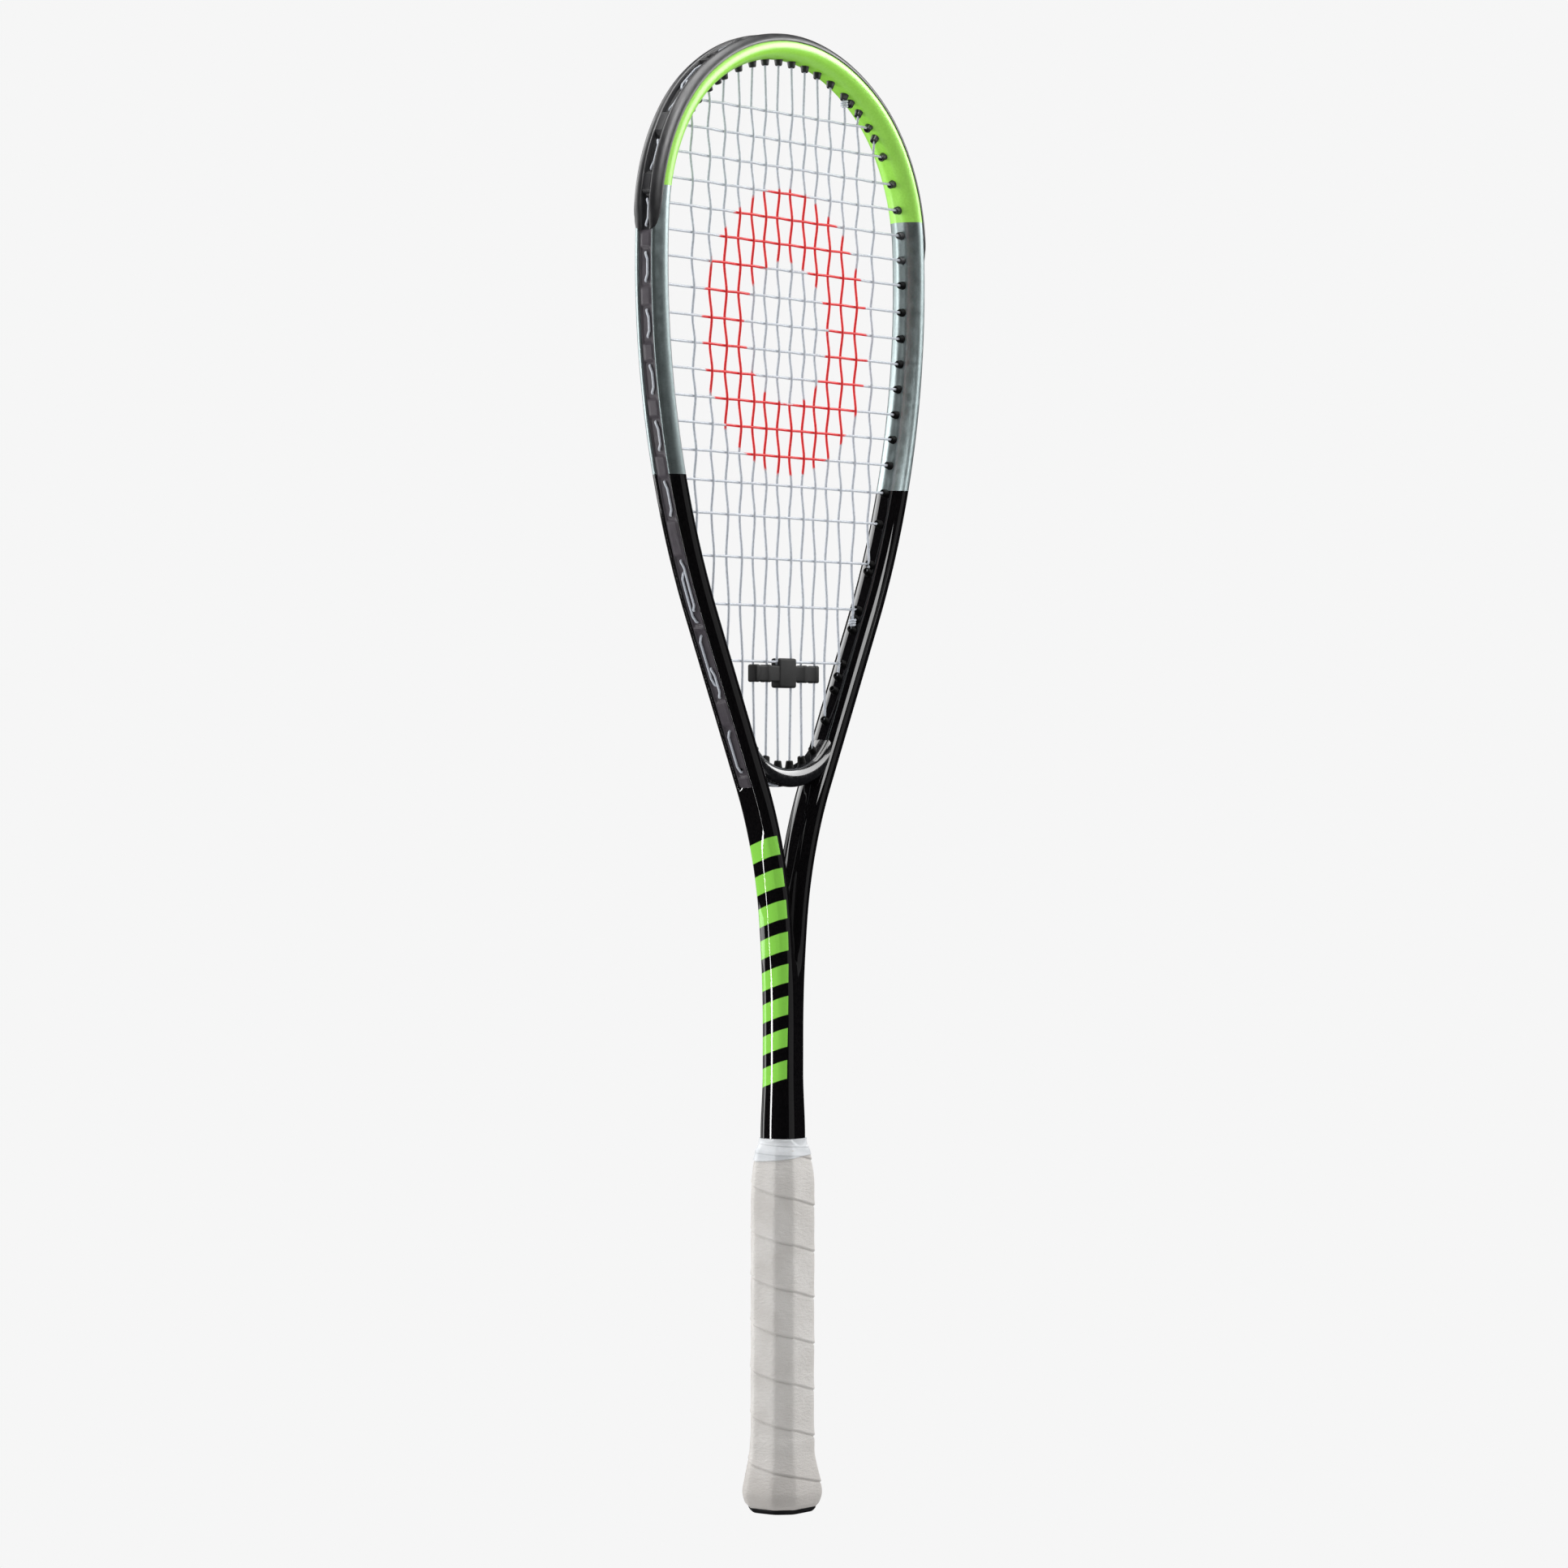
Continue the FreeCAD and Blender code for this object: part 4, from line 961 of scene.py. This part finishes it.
def cross_runs():
    """The cross string's runs, from the top knot down to the low one."""
    runs = [("turn", [deep(CROSS_START_TIE["mouth"]), deep(CROSS_START_TIE["turn"])]
             + channel_run(CROSS_START_TIE, SIDES[0], CROSS_LANE, 1))]
    leftward = True
    for j in range(len(CROSS_Z)):
        strand = [("turn", [deep(SIDES[j]["turn"], 0, -1)]), ("bed", woven(cross_knots(j))),
                  ("turn", [deep(SIDES[j]["turn"], 0, 1)])]
        runs += backwards(strand) if leftward else strand
        if j + 1 < len(CROSS_Z):
            runs.append(("turn", channel_run(SIDES[j], SIDES[j + 1], CROSS_LANE, -1 if leftward else 1)))
        leftward = not leftward
    runs.append(("turn", channel_run(SIDES[-1], CROSS_END_TIE, CROSS_LANE, -1)
                 + [deep(CROSS_END_TIE["turn"], 0, -1), deep(CROSS_END_TIE["mouth"], 0, -1)]))
    return runs


KNOT_TURNS, KNOT_PITCH, KNOT_R = 2.35, 1.15, 1.28


def add_knot(bundle, strand_start, strand_end):
    """Two close turns of string round a strand, drawn tight, and a short cut tail."""
    start = np.asarray(strand_start, float)
    along = np.asarray(strand_end, float) - start
    along /= np.linalg.norm(along)
    side = np.cross(along, (0.0, 1.0, 0.0))
    side /= np.linalg.norm(side)
    up = np.cross(along, side)
    line = []
    for turn in np.linspace(0.0, KNOT_TURNS, 61):
        centre = start + along * (KNOT_GAP + KNOT_PITCH * turn - 0.3)
        angle = turn * 2 * math.pi
        line.append(centre + KNOT_R * (math.cos(angle) * side + math.sin(angle) * up))
    leave = line[-1] - line[-2]
    leave /= np.linalg.norm(leave)
    line += [line[-1] + leave * d for d in (0.5, 1.1, 1.7)]
    bundle.add(*tube_along(line, STRING_R * 0.97))


def make_string(node, runs, look, knots):
    strand = Bundle()
    strand.add(*tube_along(joined_runs(runs), STRING_R))
    for start, end in knots:
        add_knot(strand, start, end)
    add_skin(node, strand.mesh(), look)


make_string("main_string", backwards(main_half(-1)) + main_half(1), MAIN_LOOK,
            [main_knots(side, 5)[:2] for side in (1, -1)])
make_string("cross_string", cross_runs(), CROSS_LOOK,
            [main_knots(1, 4)[:-3:-1], main_knots(-1, 4)[:2]])


# ---- handle ----
FLARE = [(2.2, 1.08), (4.2, 1.175), (9.0, 1.26), (15.5, 1.19), (21.0, 1.11), (27.0, 1.03), (33.0, 1.02),
         (39.0, 1.0)]
TAPER = [(146.0, 1.0), (156.0, 0.975), (163.0, 0.906), (168.5, 0.826), (173.4, 0.72)]
LEVELS = catmull(FLARE + [(70.0, 1.0), (110.0, 1.0)] + TAPER, 12)
ROUND_POWER, FOOT_POWER = 30.0, 22.0             # how sharp the octagon's corners are
SEAM_AZIMUTH, SEAM_Z = -108.0, 145.0             # a point on the wrap's seam
WRAP_LOW, WRAP_TOP, TAPE_LOW, TAPE_TOP = 2.25, 168.6, 160.0, 173.41


def grip_scale(z):
    return float(np.interp(z, LEVELS[:, 0], LEVELS[:, 1]))


def grip_radius(angles, power=ROUND_POWER):
    """Distance from the axis to the rounded octagon, per direction."""
    diagonal = (GRIP_X + GRIP_Y - GRIP_BEVEL) / math.sqrt(2)
    total = 0.0
    for k in range(8):
        distance = (GRIP_X, diagonal, GRIP_Y, diagonal)[k % 4]
        total = total + (np.maximum(0.0, np.cos(angles - k * math.pi / 4)) / distance) ** power
    return total ** (-1 / power)


def seam_phase(angles, z):
    """0 at a turn's lower edge, growing to 1 at the next turn's edge above it."""
    start = math.radians(SEAM_AZIMUTH)
    return ((z - SEAM_Z) / WRAP_PITCH + (angles - start) / (2 * math.pi)) % 1.0


def wrap_relief(phase):
    """Height of the grip's surface against its mean: the upper turn lies on the lower one."""
    up, down = phase * WRAP_PITCH, (1.0 - phase) * WRAP_PITCH
    lift = 0.50 * np.exp(-up / 2.4) * smoothstep(0.0, 0.8, up)
    crease = 0.50 * (1.0 - smoothstep(0.0, 0.55, up))
    crease = crease + 0.50 * (1.0 - smoothstep(0.0, 0.9, down)) * (up > 2.0)
    return lift + 0.10 * np.sin(math.pi * phase) - np.minimum(crease, 0.5)


def level_ring(angles, r, z):
    return np.stack([r * np.cos(angles), r * np.sin(angles), np.full(len(angles), z)], axis=1)


def loft_round(levels, radius_at, around):
    """Level rings of points; radius_at gives the distances from the axis for one level."""
    angles = np.arange(around) * 2 * math.pi / around
    return [level_ring(angles, radius_at(z, angles), z) for z in levels]


def make_wrap():
    def radius_at(z, angles):
        bottom = ramp(2.1, 4.6, z)
        relief = wrap_relief(seam_phase(angles, z)) * bottom
        wobble = 0.06 * np.sin(angles * 3 + z * 0.31) + 0.05 * np.sin(angles * 5 - z * 0.17 + 1.0)
        return (grip_radius(angles) * grip_scale(max(z, FLARE[0][0])) + relief + wobble * bottom
                - 0.30 * (1 - bottom))

    rings = loft_round(np.arange(WRAP_LOW, WRAP_TOP, 0.38), radius_at, 200)
    rings = [rings[0] * (0.93, 0.93, 1.0)] + rings + [rings[-1] * (0.83, 0.83, 1.0)]
    wrap = add_skin("grip_wrap", mesh_of(*grid(rings), 70.0), grip_look())


def make_tape():
    """Turns of thin tape from the grip's top down onto the shaft; its lower edge runs slantwise."""
    def radius_at(z, angles):
        top = 173.2 + 0.25 * np.sin(angles - 0.6)
        low = 164.3 + 1.5 * np.sin(angles + 2.3)
        layer = ((z - TAPE_LOW) / 4.2 + angles / (2 * math.pi)) % 1.0
        edge = 0.22 * (1.0 - smoothstep(0.0, 0.6, layer)) * smoothstep(0.0, 0.06, layer)
        hold = grip_radius(angles) * grip_scale(z)
        shaft = 9.9 + 0.35 * np.exp(-(top - z) / 2.0)
        close = smoothstep(167.5, 173.0, z)
        over = smoothstep(-0.25, 0.15, z - low)
        return (np.maximum(hold * (1 - close) + np.minimum(hold, shaft + 0.6) * close, shaft)
                + (0.42 + edge + 0.7) * over - 0.7)

    rings = loft_round(np.arange(TAPE_LOW, TAPE_TOP, 0.2), radius_at, 200)
    rings = [rings[0] * (0.96, 0.96, 1.0)] + rings + [rings[-1] * (0.93, 0.93, 1.0)]
    add_skin("finishing_tape", mesh_of(*grid(rings)), tape_look())


def make_cap():
    """The butt cap: the skirt under the grip, the rounded black foot and the recess for the badge."""
    def radius_at(z, angles):
        if z > 2.5:
            return grip_radius(angles) * grip_scale(z) - 1.7
        foot = 1.075 - 0.115 * (1.0 - float(np.clip(z / 2.4, 0, 1))) ** 2.2
        return grip_radius(angles, FOOT_POWER) * foot

    def recess(half_x, half_y, z):
        r = ((np.abs(np.cos(angles)) / half_x) ** 4 + (np.abs(np.sin(angles)) / half_y) ** 4) ** -0.25
        return level_ring(angles, r, z)

    angles = np.arange(128) * 2 * math.pi / 128
    rings = loft_round([30.5, 26.0, 20.0, 14.0, 9.0, 5.0, 2.6, 2.3, 2.0, 1.6, 1.2, 0.8, 0.45, 0.2, 0.05, 0.0],
                       radius_at, len(angles))
    rings += [recess(9.7, 7.9, 0.0), recess(9.4, 7.6, 0.25), recess(9.35, 7.55, 1.35)]
    add_skin("butt_cap", mesh_of(*grid(rings), 45.0), CAP_PLASTIC)
    plate = [recess(9.15, 7.35, 1.3), recess(9.15, 7.35, 0.5), recess(9.0, 7.2, 0.36),
             recess(8.6, 6.8, 0.3), recess(5.0, 4.0, 0.27)]
    add_skin("butt_badge", mesh_of(*grid(plate)), BADGE_PLASTIC)


make_wrap()
make_tape()
make_cap()
HIDDEN = {"handle_core": foam_look(), "butt_cap_staples": steel_look(), "grip_staple": steel_look(),
          "grip_adhesive": adhesive_look()}
for node_name, look in HIDDEN.items():
    for material_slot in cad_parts[node_name].material_slots:
        material_slot.material = look


# ---- vibration dampener ----
# Half width, half depth and half height of the bar, its square middle and its ribs.
DAMPER_BAR, DAMPER_BLOCK, DAMPER_RIB, BLOCK_RISE = (24.0, 2.4, 3.8), (6.6, 2.8, 6.6), (1.7, 2.65, 4.1), 0.6
STRING_SLOT, CROSS_SLOT_BOTTOM, SLOT_REACH = (1.15, 1.65), 4.1, 12.0


def soft_box(low, high, bevel, segments=4):
    """A box with well rounded edges."""
    bm = bmesh.new()
    low, high = np.asarray(low, float), np.asarray(high, float)
    for v in bmesh.ops.create_cube(bm, size=1.0)["verts"]:
        v.co = ((low + high) / 2 + np.array(v.co) * (high - low)) * MM
    bmesh.ops.bevel(bm, geom=bm.edges[:], offset=bevel * MM, segments=segments, profile=0.5, affect="EDGES")
    mesh = bpy.data.meshes.new("box")
    bm.to_mesh(mesh)
    bm.free()
    return in_scene("box", mesh)


def box_about(x, half, bevel, rise=0.0, segments=4):
    """A soft box about the dampener's middle height, from its half sizes."""
    middle, half = np.array([x, 0.0, DAMPER_Z]), np.array(half)
    return soft_box(middle - half, middle + half + (0.0, 0.0, rise), bevel, segments)


def combined(obj, others, operation):
    """Applies boolean modifiers, then drops the other objects."""
    for other in others:
        modifier = obj.modifiers.new("combine", "BOOLEAN")
        modifier.operation, modifier.solver, modifier.object = operation, "EXACT", other
    mesh = bpy.data.meshes.new_from_object(obj.evaluated_get(bpy.context.evaluated_depsgraph_get()))
    for other in others:
        bpy.data.objects.remove(other)
    obj.modifiers.clear()
    obj.data = mesh


def make_dampener():
    body = box_about(0.0, DAMPER_BAR, 0.9)
    combined(body, [box_about(0.0, DAMPER_BLOCK, 1.1, BLOCK_RISE)]
             + [box_about(side * main_x(i, DAMPER_Z), DAMPER_RIB, 0.9) for side in (-1, 1) for i in (1, 2)],
             "UNION")
    slot_z = DAMPER_Z - DAMPER_TRAVEL / 2        # where the mains' places fit the whole travel best
    cutters = [box_about(side * main_x(i, slot_z), (*STRING_SLOT, SLOT_REACH), 0.4, 0.0, 2)
               for side in (-1, 1) for i in range(3)]
    cutters.append(soft_box((-30, -STRING_SLOT[1], DAMPER_Z + CROSS_SLOT_BOTTOM),
                            (30, STRING_SLOT[1], DAMPER_Z + SLOT_REACH), 0.4, 2))
    combined(body, cutters, "DIFFERENCE")
    mesh = body.data
    bpy.data.objects.remove(body)
    tidy(mesh, 40.0)
    add_skin("vibration_dampener", mesh, RUBBER, "dampener")


make_dampener()


# ---- studio ----
CAMERA_AZIMUTH, CAMERA_ROLL = -53.0, -0.002      # degrees; radians
CAMERA_PLACE, LENS_MM, SENSOR_MM, SHIFT_Y = (-1.8866, -1.4219, 0.3473), 116.6, 36.0, -0.0128
LIGHTS_AIM = np.array([0.0, 0.0, 0.36])
PAPER, DIFFUSE_FILL, GLOSS_DARK = 0.922, 0.36, 0.006


def direction(azimuth, elevation):
    """A unit vector from the racket. Azimuth 0 is in front of the face."""
    a, e = math.radians(azimuth), math.radians(elevation)
    return np.array([math.sin(a) * math.cos(e), -math.cos(a) * math.cos(e), math.sin(e)])


def softbox(name, azimuth, elevation, distance, width, height, radiance, diffuse=True, glossy=True):
    """A rectangular lamp aimed at the racket. Its azimuth is counted from the camera's."""
    lamp = bpy.data.lights.new(name, "AREA")
    lamp.shape, lamp.size, lamp.size_y = "RECTANGLE", width, height
    lamp.energy = radiance * math.pi * width * height
    obj = in_scene(name, lamp)
    away = direction(CAMERA_AZIMUTH + azimuth, elevation)
    obj.location = LIGHTS_AIM + away * distance
    obj.rotation_euler = Vector(away).to_track_quat("Z", "Y").to_euler()
    obj.visible_diffuse, obj.visible_glossy = diffuse, glossy


softbox("strip_left", -74.0, -28.0, 1.9, 0.05, 2.0, 30.0)
softbox("side_left", -104.0, 2.0, 1.8, 0.7, 1.0, 3.5)
softbox("fill_left", -88.0, 14.0, 1.8, 0.8, 0.8, 9.5, glossy=False)
softbox("panel_right", 69.0, 0.0, 1.8, 1.7, 2.4, 0.35)
softbox("high_front", 106.0, 30.0, 1.8, 1.8, 1.0, 5.5)
softbox("high_key", 16.0, 50.0, 2.0, 1.0, 0.9, 8.0, diffuse=False)
softbox("high_back", -124.0, 33.0, 1.9, 1.1, 1.2, 3.5)
softbox("ceiling", -CAMERA_AZIMUTH, 89.0, 2.2, 1.8, 1.8, 4.5)
softbox("panel_back", -135.0, 0.0, 2.0, 0.6, 2.4, 0.8)


def plain_tree(owner):
    """The owner's node tree, emptied, with a function that adds nodes and one that links them."""
    owner.use_nodes = True
    owner.node_tree.nodes.clear()
    return owner.node_tree.nodes.new, owner.node_tree.links.new


world = bpy.data.worlds.new("studio")
bpy.context.scene.world = world
new, link = plain_tree(world)
rays = new("ShaderNodeLightPath")


def background(level):
    made = new("ShaderNodeBackground")
    made.inputs[0].default_value = (level, level, level, 1.0)
    return made.outputs[0]


def chosen(kind_of_ray, otherwise, shader):
    """The shader for one kind of ray, and the other one for the rest."""
    made = new("ShaderNodeMixShader")
    for socket, output in zip(made.inputs, (rays.outputs[kind_of_ray], otherwise, shader)):
        link(output, socket)
    return made.outputs[0]


unseen = chosen("Is Glossy Ray", background(DIFFUSE_FILL), background(GLOSS_DARK))
link(chosen("Is Camera Ray", unseen, background(PAPER)), new("ShaderNodeOutputWorld").inputs[0])

floor_mesh = bpy.data.meshes.new("floor")
floor_mesh.from_pydata([(-40, -40, 0), (40, -40, 0), (40, 40, 0), (-40, 40, 0)], [], [(0, 1, 2, 3)])
floor = in_scene("floor", floor_mesh)
floor.location.z = -0.0005
paper = bpy.data.materials.new("paper")
new, link = plain_tree(paper)
glow = new("ShaderNodeEmission")
glow.inputs[0].default_value = (PAPER, PAPER, PAPER, 1.0)
link(glow.outputs[0], new("ShaderNodeOutputMaterial").inputs[0])
floor_mesh.materials.append(paper)
floor.visible_glossy = False

camera_data = bpy.data.cameras.new("camera")
camera_data.sensor_width, camera_data.lens, camera_data.shift_y = SENSOR_MM, LENS_MM, SHIFT_Y
camera_data.clip_end = 200.0
camera = in_scene("camera", camera_data)
camera.location = CAMERA_PLACE
camera.rotation_euler = (math.radians(90.0), CAMERA_ROLL, math.radians(CAMERA_AZIMUTH))
bpy.context.scene.camera = camera
bpy.context.scene.view_settings.view_transform = "Standard"
